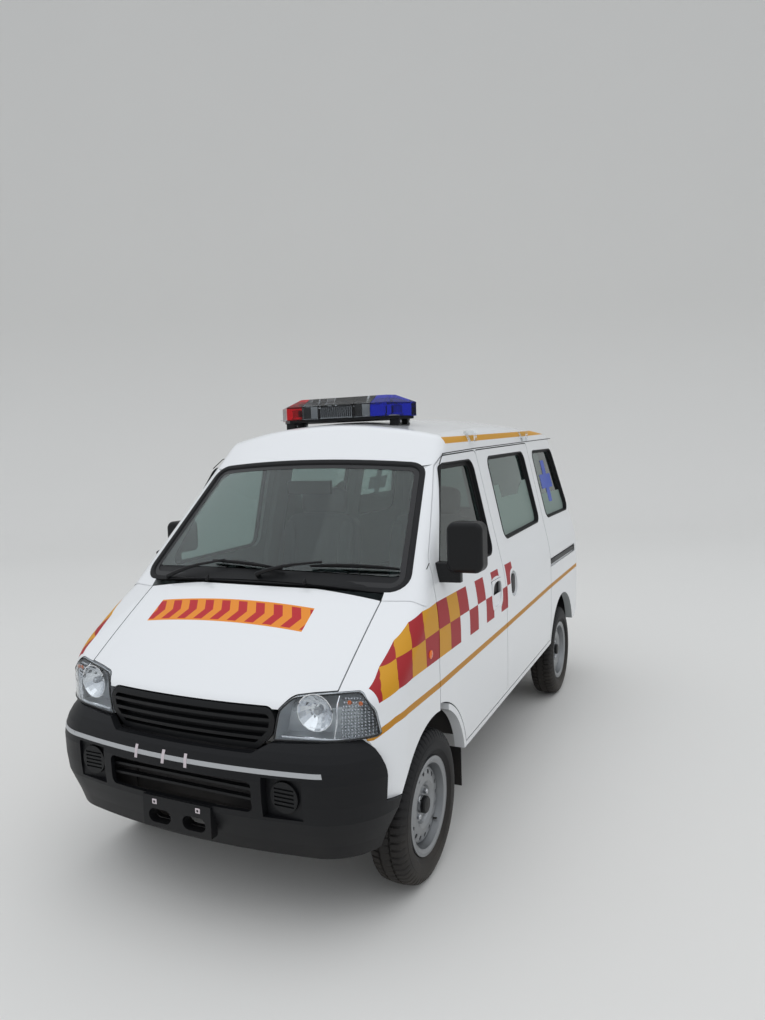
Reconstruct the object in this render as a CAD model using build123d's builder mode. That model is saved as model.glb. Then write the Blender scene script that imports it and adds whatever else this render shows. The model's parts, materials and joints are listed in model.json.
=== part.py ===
"""A small forward-engined van fitted out as an ambulance, in millimetres.

X runs to the vehicle's left, Y to its rear and Z up. Everything is drawn about the vehicle's middle plane, with
the front axle at a negative Y. The origin is on the ground under the middle of the whole outline. One mirror
stands out and the other is folded, so that middle lies a little to the left, and `save` moves every piece over.
"""
import math
import os

from build123d import *

os.makedirs("parts", exist_ok=True)

# Body envelope
half_width = 737.5
half_length = 1812
nose_y = -1752
tail_y = 1775
roof_z = 1825
belt_z = 900
wall = 45
gap = 5.5

# Plan curvature of the front and the rear, turned about these upright lines
front_centre_y = 1000
rear_centre_y = -1200

# How far the mirrors reach from the middle plane: the left one stands out and the right one is folded
left_mirror_x = 886
right_mirror_x = 786
outline_middle_x = (left_mirror_x - right_mirror_x) / 2

# Wheels
front_axle_y = -1197.5
rear_axle_y = 1152.5
wheel_radius = 289
tyre_width = 152
front_track = 1290
rear_track = 1280


def yz_line(draw, *sizes):
    """The line that draw makes in the side view."""
    with BuildLine(Plane.YZ) as line:
        draw(*sizes)
    return line.line


def turned(line, centre_y, rear=False):
    """All that lies behind a side-view line turned about an upright line, so that it is round in plan."""
    first, last = line @ 0, line @ 1
    low, high = (first.Y, first.Z), (last.Y, last.Z)
    with BuildPart() as limit:
        with BuildSketch(Plane.YZ):
            with BuildLine():
                add(Plane.YZ.to_local_coords(line))
                Polyline(high, (centre_y, high[1]), (centre_y, low[1]), low)
            make_face()
        revolve(axis=Axis((0, centre_y, 0), (0, 0, 1)), revolution_arc=360)
        split(bisect_by=Plane.XZ.offset(-centre_y), keep=Keep.BOTTOM if rear else Keep.TOP)
        with BuildSketch(Plane.XZ.offset(-centre_y)):
            with Locations((0, (low[1] + high[1]) / 2)):
                Rectangle(3000, high[1] - low[1])
        extrude(amount=4000 if rear else -4000)
    return limit.part


def side_section(inset, low_z, top_z):
    """The body's section across the vehicle: upright to the belt, then leaning in."""
    lean = math.radians(12.5)
    belt_radius = 800
    with BuildPart() as section:
        with BuildSketch(Plane.XZ):
            with BuildLine():
                low = (726 - inset, low_z)
                flank = (half_width - inset, 760)
                belt = (half_width - inset, belt_z)
                ThreePointArc(low, (734.5 - inset, (low_z + 760) / 2), flank)
                Line(flank, belt)
                turn = (belt[0] - belt_radius * (1 - math.cos(lean)), belt_z + belt_radius * math.sin(lean))
                RadiusArc(belt, turn, -belt_radius)
                Polyline(turn, (turn[0] - (top_z - turn[1]) * math.tan(lean), top_z), (0, top_z))
                Line((0, low_z), low)
                mirror(about=Plane.YZ)
            make_face()
        extrude(amount=2200, both=True)
    return section.part


def roof_crown(inset):
    """All that lies under the roof's surface, which is round both ways."""
    across, along, apex_y, half = 2300, 14000, 500, 900
    top = roof_z - inset
    edge = top - (across - math.sqrt(across**2 - half**2))
    pivot = Axis((0, apex_y, top - along), (1, 0, 0))
    with BuildPart() as crown:
        with BuildSketch(Plane.XZ.offset(-apex_y)):
            with BuildLine():
                ThreePointArc((-half, edge), (0, top), (half, edge))
                Polyline((half, edge), (half, -600), (-half, -600), (-half, edge))
            make_face()
        revolve(axis=pivot, revolution_arc=24)
    return crown.part.rotate(pivot, -12)


def draw_windscreen(inset):
    behind = inset / math.sin(math.radians(45))
    Line((-2121 + behind, 300), (-505 + behind, 1916))


def draw_nose(inset):
    Line((nose_y + inset, 300), (nose_y + 24 + inset, 1300))


def draw_tail(inset):
    lean = math.radians(17)
    y = tail_y - inset
    turn = (y - 600 * (1 - math.cos(lean)), 960 + 600 * math.sin(lean))
    Line((y, 300), (y, 960))
    RadiusArc((y, 960), turn, -600)
    Line(turn, (turn[0] - 800 * math.tan(lean), turn[1] + 800))


def upright_edges(part, low_z, high_z, low_y, high_y):
    """The edges at the body's corners between two heights and two places along it."""
    chosen = []
    for edge in part.edges():
        spot = edge.center()
        level = abs(edge.tangent_at(0.5).Y) > 0.98
        if abs(spot.X) > 450 and low_z < spot.Z < high_z and low_y < spot.Y < high_y and not level:
            chosen.append(edge)
    return chosen


def cabin(inset, low_z):
    """The cab and load space: windscreen, leaning sides, tail and roof."""
    front = turned(yz_line(draw_windscreen, inset), front_centre_y)
    tail = turned(yz_line(draw_tail, inset), rear_centre_y, rear=True)
    with BuildPart() as body:
        add(side_section(inset, low_z, 2000))
        add(front, mode=Mode.INTERSECT)
        add(tail, mode=Mode.INTERSECT)
        fillet(upright_edges(body.part, low_z + 1, 1908, -2100, 0), radius=max(70 - inset, 25))
        fillet(upright_edges(body.part, low_z + 1, 1908, 1400, 2000), radius=130 - inset)
        add(roof_crown(inset), mode=Mode.INTERSECT)
        rim = [edge for edge in body.edges() if edge.center().Z > 1590 and abs(edge.tangent_at(0.5).Z) < 0.5]
        fillet(rim, radius=max(80 - inset, 12))
    return body.part


def above_bonnet(inset):
    """All that lies over the bonnet's surface, which falls to the nose and is round in plan."""
    front, middle, back = (-1810, 750 - inset), (-1513, 967 - inset), (-1000, 1288 - inset)
    centre = Axis((0, front_centre_y, 0), (0, 0, 1))
    with BuildPart() as over:
        with BuildSketch(Plane.YZ):
            with BuildLine():
                ThreePointArc(front, middle, back)
                Polyline(back, (back[0], 1600), (-2300, 1600), (-2300, front[1]), front)
            make_face()
        revolve(axis=centre, revolution_arc=60)
    return over.part.rotate(centre, -30)


def front_end(inset, low_z):
    """The body below the glass: nose, bonnet and flanks."""
    nose = turned(yz_line(draw_nose, inset), front_centre_y)
    with BuildPart() as body:
        add(side_section(inset, low_z, 1180))
        add(nose, mode=Mode.INTERSECT)
        split(bisect_by=Plane.XZ, keep=Keep.TOP)
        fillet(upright_edges(body.part, low_z + 1, 1179, -2000, -1000), radius=260 - inset)
        add(above_bonnet(inset), mode=Mode.SUBTRACT)
        rim = []
        for edge in body.edges():
            spot, way = edge.center(), edge.tangent_at(0.5)
            if spot.Y < -1100 and 770 < spot.Z < 1179 and abs(way.Z) < 0.9:
                rim.append(edge)
        fillet(rim, radius=max(75 - inset, 12))
    return body.part


# Outlines seen from the side, as (y, z) corners, the front of the vehicle first
front_door_line = [(-1131, 300), (-1131, 905), (-1106, 1063), (-1078, 1212), (-738, 1582), (-670, 1624),
                   (-212, 1640), (-178, 300)]
front_door_radii = [5, 200, 200, 120, 90, 90, 30, 5]
slide_door_line = [(-178, 300), (-212, 1640), (797, 1668), (784, 300)]
front_window_line = [(-1034, 1130), (-726, 1588), (-293, 1597), (-292, 1141)]
front_window_radii = [40, 60, 55, 55]
slide_window_line = [(-60, 1178), (-57, 1603), (676, 1618), (700, 1197)]
quarter_window_line = [(893, 1197), (884, 1618), (1416, 1624), (1545, 1200)]
gutter_line = [(-738, 1588), (-668, 1632), (-212, 1649), (797, 1677), (1500, 1696)]
front_arch = (-1187, 295)
rear_arch = (1118, 335)
arch_radius = 354
rear_arch_radius = 345
arch_lip = 26

# Outlines seen from the front, as (x, z) corners of the left half
lamp_line = [(357, 690), (379, 796), (412, 833), (482, 842), (640, 856), (684, 800), (697, 706)]
lamp_radii = [8, 30, 45, 120, 30, 60, 12]
grille_half_widths = (374, 358, 300)
grille_levels = (800, 715, 658)
bonnet_half_width = 557

# The windscreen's opening, in the plane of the glass: half width, height of the corners and of the middle
screen_plane = Plane(origin=(0, -1276, 1145), x_dir=(1, 0, 0), z_dir=(0, -1, 1))
screen_foot = (641, 30, -12)
screen_head = (539, 682, 660)
cowl_top = 62
glass_inset = 6
side_glass_inset = 22
glass_thickness = 5


def side_block(corners, radius, low_x=520, high_x=900, grow=0):
    """A block through the left side, whose outline from the side is the corners with rounded turns."""
    with BuildPart() as block:
        with BuildSketch(Plane.YZ.offset(low_x)):
            with BuildLine():
                FilletPolyline(*corners, radius=radius, close=True)
            make_face()
            if grow:
                offset(amount=grow)
        extrude(amount=high_x - low_x)
    return block.part


def front_block(corners, radius, grow=0, near_y=-1300, far_y=-1950):
    """A block through the nose, whose outline from the front is the corners with rounded turns."""
    with BuildPart() as block:
        with BuildSketch(Plane.XZ.offset(-near_y)):
            with BuildLine():
                FilletPolyline(*corners, radius=radius, close=True)
            make_face()
            if grow:
                offset(amount=grow)
        extrude(amount=near_y - far_y)
    return block.part


def box(low, high):
    """A plain block between two corners."""
    size = [b - a for a, b in zip(low, high)]
    middle = tuple((a + b) / 2 for a, b in zip(low, high))
    with BuildPart() as block:
        with Locations(middle):
            Box(*size)
    return block.part


def both_sides(low, high):
    """A block on the left side and its mirror image."""
    return [box(low, high), box((-high[0], *low[1:]), (-low[0], *high[1:]))]


def across(radius, y, z, low_x, high_x):
    """A cylinder that lies across the vehicle."""
    with BuildPart() as rod:
        with BuildSketch(Plane.YZ.offset(low_x)):
            with Locations((y, z)):
                Circle(radius)
        extrude(amount=high_x - low_x)
    return rod.part


def save(part, name):
    """Write one finished piece as the node of that name, in its place about the origin."""
    placed = Pos(-outline_middle_x, 0, 0) * part
    placed.label = name
    export_step(placed, f"parts/{name}.step")


def save_pair(part, name):
    """Write a left piece and its mirror image."""
    save(part, f"{name}_left")
    save(part.mirror(Plane.YZ), f"{name}_right")


def save_both(part, name):
    """Write a left piece and its mirror image as one node of separate solids."""
    save(Compound(children=[part, part.mirror(Plane.YZ)]), name)


# Skins of the body
deep_z = 300
outer_cabin = cabin(0, deep_z)
outer_front = front_end(0, deep_z)
with BuildPart() as cabin_wall:
    add(outer_cabin)
    add(cabin(wall, deep_z - 20), mode=Mode.SUBTRACT)
with BuildPart() as front_wall:
    add(outer_front)
    add(front_end(wall, deep_z - 20), mode=Mode.SUBTRACT)
with BuildPart() as glass_layer:
    add(cabin(glass_inset, deep_z))
    add(cabin(glass_inset + glass_thickness, deep_z - 20), mode=Mode.SUBTRACT)


with BuildPart() as side_glass_layer:
    add(cabin(side_glass_inset, deep_z))
    add(cabin(side_glass_inset + glass_thickness, deep_z - 20), mode=Mode.SUBTRACT)


def screen_block(grow=0, foot=screen_foot):
    """A block through the windscreen, square to the glass."""
    low, corner, middle = foot
    high, top_corner, top_middle = screen_head
    with BuildPart() as block:
        with BuildSketch(screen_plane.offset(-220)):
            with BuildLine():
                ThreePointArc((-low, corner), (0, middle), (low, corner))
                Line((low, corner), (high, top_corner))
                ThreePointArc((high, top_corner), (0, top_middle), (-high, top_corner))
                Line((-high, top_corner), (-low, corner))
            make_face()
            fillet(vertices(), radius=66)
            if grow:
                offset(amount=grow)
        extrude(amount=360)
    return block.part


def below_line(front_z, rear_z, shift=0):
    """Everything under a side-view line that rises evenly from the nose to the tail."""
    with BuildPart() as under:
        with BuildSketch(Plane.YZ):
            with BuildLine():
                Polyline((-2200, front_z + shift), (2200, rear_z + shift), (2200, -100), (-2200, -100), close=True)
            make_face()
        extrude(amount=900, both=True)
    return under.part


def slope_ends(front, rear):
    """The heights at the far ends of the line through two (y, z) points."""
    rise = (rear[1] - front[1]) / (rear[0] - front[0])
    return front[1] + rise * (-2200 - front[0]), front[1] + rise * (2200 - front[0])


# The sill's lower edge and the doors' lower edge both rise to the rear
sill_ends = slope_ends((-825, 384), (775, 424))
door_ends = slope_ends((-825, 408), (775, 450))
half_gap = gap / 2


def door_block(line, radii, grow):
    """The space of a side door, out to its lower edge and the wheel arches."""
    with BuildPart() as block:
        add(side_block(line, radii, grow=grow))
        add(screen_block(grow=30 - grow), mode=Mode.SUBTRACT)
        add(below_line(*door_ends, shift=-grow), mode=Mode.SUBTRACT)
        add(across(arch_radius + arch_lip - grow, *front_arch, 200, 950), mode=Mode.SUBTRACT)
        add(across(rear_arch_radius + 22 - grow, *rear_arch, 200, 950), mode=Mode.SUBTRACT)
    return block.part


# Side doors, each one layer of wall with a window opening
with BuildPart() as front_door_left:
    add(cabin_wall.part)
    add(door_block(front_door_line, front_door_radii, -half_gap), mode=Mode.INTERSECT)
    add(side_block(front_window_line, front_window_radii), mode=Mode.SUBTRACT)
    add(box((half_width - 22, -420, 884), (900, -266, 1022)), mode=Mode.SUBTRACT)
save_pair(front_door_left.part, "front_door")

with BuildPart() as front_door_glass_left:
    add(side_glass_layer.part)
    add(side_block(front_window_line, front_window_radii), mode=Mode.INTERSECT)
    add(screen_block(grow=30 + half_gap), mode=Mode.SUBTRACT)
save_pair(front_door_glass_left.part, "front_door_glass")

with BuildPart() as sliding_door_left:
    add(cabin_wall.part)
    add(door_block(slide_door_line, 20, -half_gap), mode=Mode.INTERSECT)
    add(side_block(slide_window_line, 55), mode=Mode.SUBTRACT)
    with BuildSketch(Plane.YZ.offset(half_width - 20)):
        with Locations((-44, 950)):
            RectangleRounded(112, 130, 52)
    extrude(amount=100, mode=Mode.SUBTRACT)
save_pair(sliding_door_left.part, "sliding_door")

with BuildPart() as side_glass_left:
    add(side_glass_layer.part)
    with BuildSketch(Plane.YZ.offset(250)):
        for corners in (slide_window_line, quarter_window_line):
            with BuildLine():
                FilletPolyline(*corners, radius=55, close=True)
            make_face()
    extrude(amount=650, mode=Mode.INTERSECT)
save_both(side_glass_left.part, "side_windows")

# Tailgate, from the rear bumper to the roof, with its window
tailgate_line = [(-640, 500), (640, 500), (655, 1000), (522, 1700), (-522, 1700), (-655, 1000)]
rear_plate_low = (-265, 1763, 705)
rear_plate_high = (265, 1850, 845)
tailgate_window_line = [(-560, 1175), (560, 1175), (478, 1640), (-478, 1640)]


def rear_block(corners, radius, grow=0, near_y=1500, far_y=1950):
    """A block through the tail, whose outline from behind is the corners with rounded turns."""
    with BuildPart() as block:
        with BuildSketch(Plane.XZ.offset(-near_y)):
            with BuildLine():
                FilletPolyline(*corners, radius=radius, close=True)
            make_face()
            if grow:
                offset(amount=grow)
        extrude(amount=near_y - far_y)
    return block.part


with BuildPart() as tailgate:
    add(cabin_wall.part)
    add(rear_block(tailgate_line, 70, grow=-half_gap), mode=Mode.INTERSECT)
    add(rear_block(tailgate_window_line, 70), mode=Mode.SUBTRACT)
    add(box(rear_plate_low, rear_plate_high), mode=Mode.SUBTRACT)
save(tailgate.part, "tailgate")

with BuildPart() as tailgate_glass:
    add(glass_layer.part)
    add(rear_block(tailgate_window_line, 70), mode=Mode.INTERSECT)
save(tailgate_glass.part, "tailgate_glass")

# Body sides: door pillars, sills, wheel arches and rear quarters
side_line = [(-1131, 300), (1850, 300), (1850, 1702), *reversed(gutter_line), (-1250, 1250), (-1420, 1065),
             (-1060, 1065), (-1131, 905)]
lamp_low = (660, 1600, 760)
lamp_high = (800, 1900, 1110)
rear_bumper_z = (400, 496)
quarter_foot_line = [(1430, 200), (1430, 424), (1480, 424), (1640, 500), (1950, 500), (1950, 200)]
with BuildPart() as front_end_space:
    add(front_end(-2, deep_z - 20))
    add(box((0, -2000, 280), (900, -1040, 1300)), mode=Mode.INTERSECT)
with BuildPart() as body_side_left:
    add(cabin_wall.part)
    with BuildSketch(Plane.YZ.offset(150)):
        with BuildLine():
            Polyline(*side_line, close=True)
        make_face()
    extrude(amount=750, mode=Mode.INTERSECT)
    add(box((0, -1500, 900), (bonnet_half_width + half_gap, -1000, 1215)), mode=Mode.SUBTRACT)
    add(box(lamp_low, lamp_high), mode=Mode.SUBTRACT)
    add(side_block(quarter_foot_line, 5, low_x=0), mode=Mode.SUBTRACT)
    add(door_block(front_door_line, front_door_radii, half_gap), mode=Mode.SUBTRACT)
    add(door_block(slide_door_line, 20, half_gap), mode=Mode.SUBTRACT)
    add(side_block(quarter_window_line, 55), mode=Mode.SUBTRACT)
    add(screen_block(), mode=Mode.SUBTRACT)
    add(front_end_space.part, mode=Mode.SUBTRACT)
    add(below_line(*sill_ends), mode=Mode.SUBTRACT)
    add(across(arch_radius, *front_arch, 200, 950), mode=Mode.SUBTRACT)
    add(across(rear_arch_radius, *rear_arch, 200, 950), mode=Mode.SUBTRACT)
    add(rear_block(tailgate_line, 70, grow=half_gap), mode=Mode.SUBTRACT)
    with BuildSketch(Plane.YZ.offset(half_width - 16)):
        with BuildLine():
            Polyline((776, 903), (1531, 905), (1531, 958), (776, 956), close=True)
        make_face()
    extrude(amount=100, mode=Mode.SUBTRACT)
save_pair(body_side_left.part, "body_side")

# Roof, down to the gutters and the top of the windscreen
with BuildPart() as roof_panel:
    add(cabin_wall.part)
    with BuildSketch(Plane.YZ.offset(-800)):
        with BuildLine():
            Polyline((-738, 1588), *gutter_line[1:], (1850, 1702), (1850, 2000), (-1100, 2000), (-1100, 1500),
                     close=True)
        make_face()
    extrude(amount=1600, mode=Mode.INTERSECT)
    add(screen_block(), mode=Mode.SUBTRACT)
    add(rear_block(tailgate_line, 70, grow=half_gap), mode=Mode.SUBTRACT)
save(roof_panel.part, "roof_panel")

with BuildPart() as windscreen:
    add(glass_layer.part)
    add(screen_block(foot=(630, 96, cowl_top)), mode=Mode.INTERSECT)
save(windscreen.part, "windscreen")

cowl_foot = (screen_foot[0] - gap, screen_foot[1], screen_foot[2] + gap + 2)
with BuildPart() as cowl_panel:
    add(cabin(8, deep_z))
    add(cabin(30, deep_z - 20), mode=Mode.SUBTRACT)
    add(screen_block(foot=cowl_foot), mode=Mode.INTERSECT)
    add(screen_block(foot=(630, 92, cowl_top - 2)), mode=Mode.SUBTRACT)
save(cowl_panel.part, "cowl_panel")

# Front end
grille_line = []
for half, level in zip(grille_half_widths, grille_levels):
    grille_line.append((half, level))
grille_line += [(-x, z) for x, z in reversed(grille_line)]
lamp_line_right = [(-x, z) for x, z in lamp_line]
bumper_top_line = [(900, 722), (697, 706), (357, 689), (300, 657), (-300, 657), (-357, 689), (-697, 706),
                   (-900, 722), (-900, 250), (900, 250)]
bumper_back_line = [(-1640, 745), (-1600, 667), (-1588, 593), (-1594, 482), (-1440, 466), (-1440, 200), (-2000, 200),
                    (-2000, 745)]

with BuildPart() as bonnet:
    add(front_wall.part)
    add(box((-bonnet_half_width + half_gap, -1900, 797), (bonnet_half_width - half_gap, -1100, 1300)),
        mode=Mode.INTERSECT)
    add(front_block(lamp_line, lamp_radii, grow=gap), mode=Mode.SUBTRACT)
    add(front_block(lamp_line_right, lamp_radii, grow=gap), mode=Mode.SUBTRACT)
    add(front_block(grille_line, 40, grow=gap), mode=Mode.SUBTRACT)
    add(screen_block(grow=half_gap), mode=Mode.SUBTRACT)
    add(box((-600, -1262, 900), (600, -1000, 1300)), mode=Mode.SUBTRACT)
save(bonnet.part, "bonnet")

with BuildPart() as front_fender_left:
    add(front_wall.part)
    add(box((bonnet_half_width + half_gap, -1900, 300), (800, -1060, 1300)), mode=Mode.INTERSECT)
    with BuildSketch(Plane.YZ.offset(200)):
        with BuildLine():
            Polyline((-2000, 300), (-1131 - half_gap, 300), (-1131 - half_gap, 905), (-1060, 1300), (-2000, 1300),
                     close=True)
        make_face()
    extrude(amount=700, mode=Mode.INTERSECT)
    add(side_block(front_door_line, front_door_radii, grow=half_gap), mode=Mode.SUBTRACT)
    add(box((400, -1205, 1065), (690, -1000, 1300)), mode=Mode.SUBTRACT)
    add(front_block(lamp_line, lamp_radii, grow=2), mode=Mode.SUBTRACT)
    add(screen_block(grow=half_gap), mode=Mode.SUBTRACT)
    add(side_block(bumper_back_line, 8, low_x=200), mode=Mode.SUBTRACT)
    add(below_line(*sill_ends), mode=Mode.SUBTRACT)
    add(across(arch_radius, *front_arch, 200, 950), mode=Mode.SUBTRACT)
save_pair(front_fender_left.part, "front_fender")

with BuildPart() as lamp_lens:
    add(outer_front)
    add(front_end(5, deep_z), mode=Mode.SUBTRACT)
    add(front_block(lamp_line, lamp_radii), mode=Mode.INTERSECT)
save_both(lamp_lens.part, "headlamp_lenses")

with BuildPart() as lamp_housing:
    add(front_end(5, deep_z))
    add(front_end(90, deep_z - 20), mode=Mode.SUBTRACT)
    add(front_block(lamp_line, lamp_radii), mode=Mode.INTERSECT)
with BuildPart() as lamp_hollow:
    add(front_end(4, deep_z))
    add(front_end(80, deep_z - 20), mode=Mode.SUBTRACT)
    add(front_block(lamp_line, lamp_radii, grow=-7), mode=Mode.INTERSECT)
with BuildPart() as lamp_tray:
    add(lamp_housing.part)
    add(lamp_hollow.part, mode=Mode.SUBTRACT)
save_both(lamp_tray.part, "headlamp_housings")

# Grille: a frame, cross bars and a back plate in one moulding
grille_bar_levels = (690, 722, 754)
with BuildPart() as grille_block:
    add(outer_front)
    add(front_end(34, deep_z), mode=Mode.SUBTRACT)
    add(front_block(grille_line, 40), mode=Mode.INTERSECT)
    add(front_block(lamp_line, lamp_radii, grow=2), mode=Mode.SUBTRACT)
    add(front_block(lamp_line_right, lamp_radii, grow=2), mode=Mode.SUBTRACT)
with BuildPart() as grille_slots:
    add(front_end(-10, deep_z))
    add(front_end(26, deep_z - 20), mode=Mode.SUBTRACT)
    add(front_block(grille_line, 40, grow=-20), mode=Mode.INTERSECT)
    for level in grille_bar_levels:
        add(box((-400, -1900, level), (400, -1600, level + 11)), mode=Mode.SUBTRACT)
with BuildPart() as grille:
    add(grille_block.part)
    add(grille_slots.part, mode=Mode.SUBTRACT)
save(grille.part, "grille")

# Front bumper: one deep moulding round the nose, as (height, how far in) of its outline in plan
bumper_levels = ((300, 60), (350, 44), (395, 26), (440, 9), (500, 2), (575, 0), (612, 6), (642, 17), (668, 33),
                 (690, 52), (724, 78))
bumper_skin = 16
bumper_corner = 275


def bumper_body(inset):
    """The bumper's outer surface, moved inwards by the inset."""
    with BuildPart() as body:
        for level, inwards in bumper_levels:
            side = half_width + 1.5 - inset - inwards
            front = -half_length + inset + inwards
            bend = front_centre_y - front
            corner_y = front_centre_y - math.sqrt(bend**2 - side**2)
            with BuildSketch(Plane.XY.offset(level - inset if level > 600 else level)):
                with BuildLine():
                    ThreePointArc((-side, corner_y), (0, front), (side, corner_y))
                    Polyline((side, corner_y), (side, -1200), (-side, -1200), (-side, corner_y))
                make_face()
                fillet(vertices().sort_by(Axis.Y)[:2], radius=bumper_corner - inset - inwards)
        loft(ruled=True)
    return body.part


intake_half_width = 310
intake_levels = (462, 572)
fog_x = 424
fog_z = 524
fog_radius = 54
pocket_low = (348, -1900, 452)
pocket_high = (492, -1757, 590)
pocket_wall = 8
plate_low = (-150, -1809, 345)
plate_high = (150, -1775, 458)
plate_hole_x = 96
plate_hole_z = 438
with BuildPart() as pocket_backing:
    add(both_sides(tuple(value - pocket_wall for value in pocket_low),
                   (pocket_high[0] + pocket_wall, pocket_high[1] + 16, pocket_high[2] + pocket_wall)))
    add(bumper_body(4), mode=Mode.INTERSECT)
with BuildPart() as front_bumper:
    add(bumper_body(0))
    add(bumper_body(bumper_skin), mode=Mode.SUBTRACT)
    add(front_block(bumper_top_line, 12, near_y=-1300), mode=Mode.INTERSECT)
    add(side_block(bumper_back_line, 8, low_x=-900, high_x=900), mode=Mode.INTERSECT)
    add(across(arch_radius + 12, *front_arch, -950, 950), mode=Mode.SUBTRACT)
    add(box(plate_low, plate_high))
    add(pocket_backing.part)
    add(both_sides(pocket_low, pocket_high), mode=Mode.SUBTRACT)
    with BuildSketch(Plane.XZ.offset(1690)):
        with Locations((0, sum(intake_levels) / 2)):
            RectangleRounded(2 * intake_half_width, intake_levels[1] - intake_levels[0], 22)
        with Locations((-fog_x, fog_z), (fog_x, fog_z)):
            Circle(fog_radius)
        with Locations((-76, 386), (76, 386)):
            SlotOverall(100, 50)
        with Locations((-plate_hole_x, plate_hole_z), (plate_hole_x, plate_hole_z)):
            Circle(3)
    extrude(amount=200, mode=Mode.SUBTRACT)
save(front_bumper.part, "front_bumper")

# Blanks in the fog lamp holes and bars across the intake
with BuildPart() as bumper_inserts:
    with BuildSketch(Plane.XZ.offset(1744)):
        with Locations((-fog_x, fog_z), (fog_x, fog_z)):
            Circle(fog_radius - 1)
    extrude(amount=24)
    with BuildSketch(Plane.XZ.offset(1762)):
        with Locations((-fog_x, fog_z), (fog_x, fog_z)):
            with GridLocations(0, 14, 1, 5):
                Rectangle(76, 6)
    extrude(amount=20, mode=Mode.SUBTRACT)
    with BuildSketch(Plane.XZ.offset(1752)):
        with Locations((0, sum(intake_levels) / 2)):
            with GridLocations(0, 34, 1, 2):
                Rectangle(2 * intake_half_width, 9)
    extrude(amount=22)
save(bumper_inserts.part, "bumper_inserts")

# Front panel with the radiator in it
with BuildPart() as front_frame:
    add(box((-480, -1712, 392), (480, -1700, 648)))
    add(box((-270, -1720, 420), (270, -1690, 630)), mode=Mode.SUBTRACT)
    add(box((-285, -1700, 400), (285, -1650, 645)))
save(front_frame.part, "front_frame")

# Floor with the seat box over the engine and the chassis rails
floor_z = 470
floor_sheet = 40
house_sheet = 12
rail_x = (300, 360)
rail_low_z = 380


# The space inside each wheel house, as its low and high corners
wheel_spaces = (
    ((384, -1578, 100), (800, -830, 660)),
    ((442, 777, 100), (800, 1468, 690)),
)
with BuildPart() as floor_pan:
    add(box((-688, -1240, floor_z - floor_sheet), (688, 1725, floor_z)))
    add(both_sides((rail_x[0], -1700, rail_low_z), (rail_x[1], 1700, floor_z)))
    add(box((-600, -720, floor_z - 1), (600, -130, 730)))
    add(box((-580, -700, 300), (580, -150, 712)), mode=Mode.SUBTRACT)
    for low, high in wheel_spaces:
        grown = (low[0] - house_sheet - 1, low[1] - house_sheet - 1, low[2])
        add(both_sides(grown, (high[0], high[1] + house_sheet + 1, high[2])), mode=Mode.SUBTRACT)
    add(both_sides((rail_x[0], -760, rail_low_z), (rail_x[1], -100, 430)))
    for y in (-560, -260):
        add(box((-rail_x[0] - 1, y - 30, rail_low_z), (rail_x[0] + 1, y + 30, rail_low_z + 20)))
    add(cabin(wall + 6, deep_z), mode=Mode.INTERSECT)
save(floor_pan.part, "floor_pan")

with BuildPart() as front_houses:
    for low, high in wheel_spaces[:1]:
        outer_low = (low[0] - house_sheet, low[1] - house_sheet, floor_z - floor_sheet)
        add(both_sides(outer_low, (700, high[1] + house_sheet, high[2] + house_sheet)))
        add(both_sides(low, high), mode=Mode.SUBTRACT)
    add(front_end(wall + 6, deep_z), mode=Mode.INTERSECT)
with BuildPart() as rear_houses:
    for low, high in wheel_spaces[1:]:
        outer_low = (low[0] - house_sheet, low[1] - house_sheet, floor_z - floor_sheet)
        add(both_sides(outer_low, (700, high[1] + house_sheet, high[2] + house_sheet)))
        add(both_sides(low, high), mode=Mode.SUBTRACT)
    add(cabin(wall + 6, deep_z), mode=Mode.INTERSECT)
save(Compound(children=[*front_houses.part.solids(), *rear_houses.part.solids()]), "wheel_houses")

save(box((-250, -640, 400.5), (250, -190, 690)), "engine")

# Bulkhead between the nose and the cab, and the hoop of the door pillars
with BuildPart() as bulkhead:
    add(box((-690, -1264, floor_z), (690, -1241, 1062)))
    add(both_sides((371, -1300, 300), (800, -1200, 673)), mode=Mode.SUBTRACT)
    add(front_end(wall + 6, deep_z), mode=Mode.INTERSECT)
with BuildPart() as door_pillars:
    add(cabin(wall + 7, deep_z))
    add(cabin(wall + 40, deep_z - 20), mode=Mode.SUBTRACT)
    add(box((-800, -245, floor_z), (800, -135, 1690)), mode=Mode.INTERSECT)
    add(box((-500, -300, 300), (500, 0, 1900)), mode=Mode.SUBTRACT)
save(Compound(children=[*bulkhead.part.solids(), *door_pillars.part.solids()]), "bulkhead_and_pillars")

# Running gear
kingpin_x = 535
stub_radius = 20
bore_clearance = 0.05
rim_radius = 172
vent_ring_radius = 121
vent_radius = 9
vent_count = 16


def draw_tyre():
    half = tyre_width / 2
    Polyline((56, rim_radius), (57, 188), (half - 4, 208), (half, 228), (half - 2, 248), (64, 270), (56, 281.5),
             (43, wheel_radius - 2), (0, wheel_radius))


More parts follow.
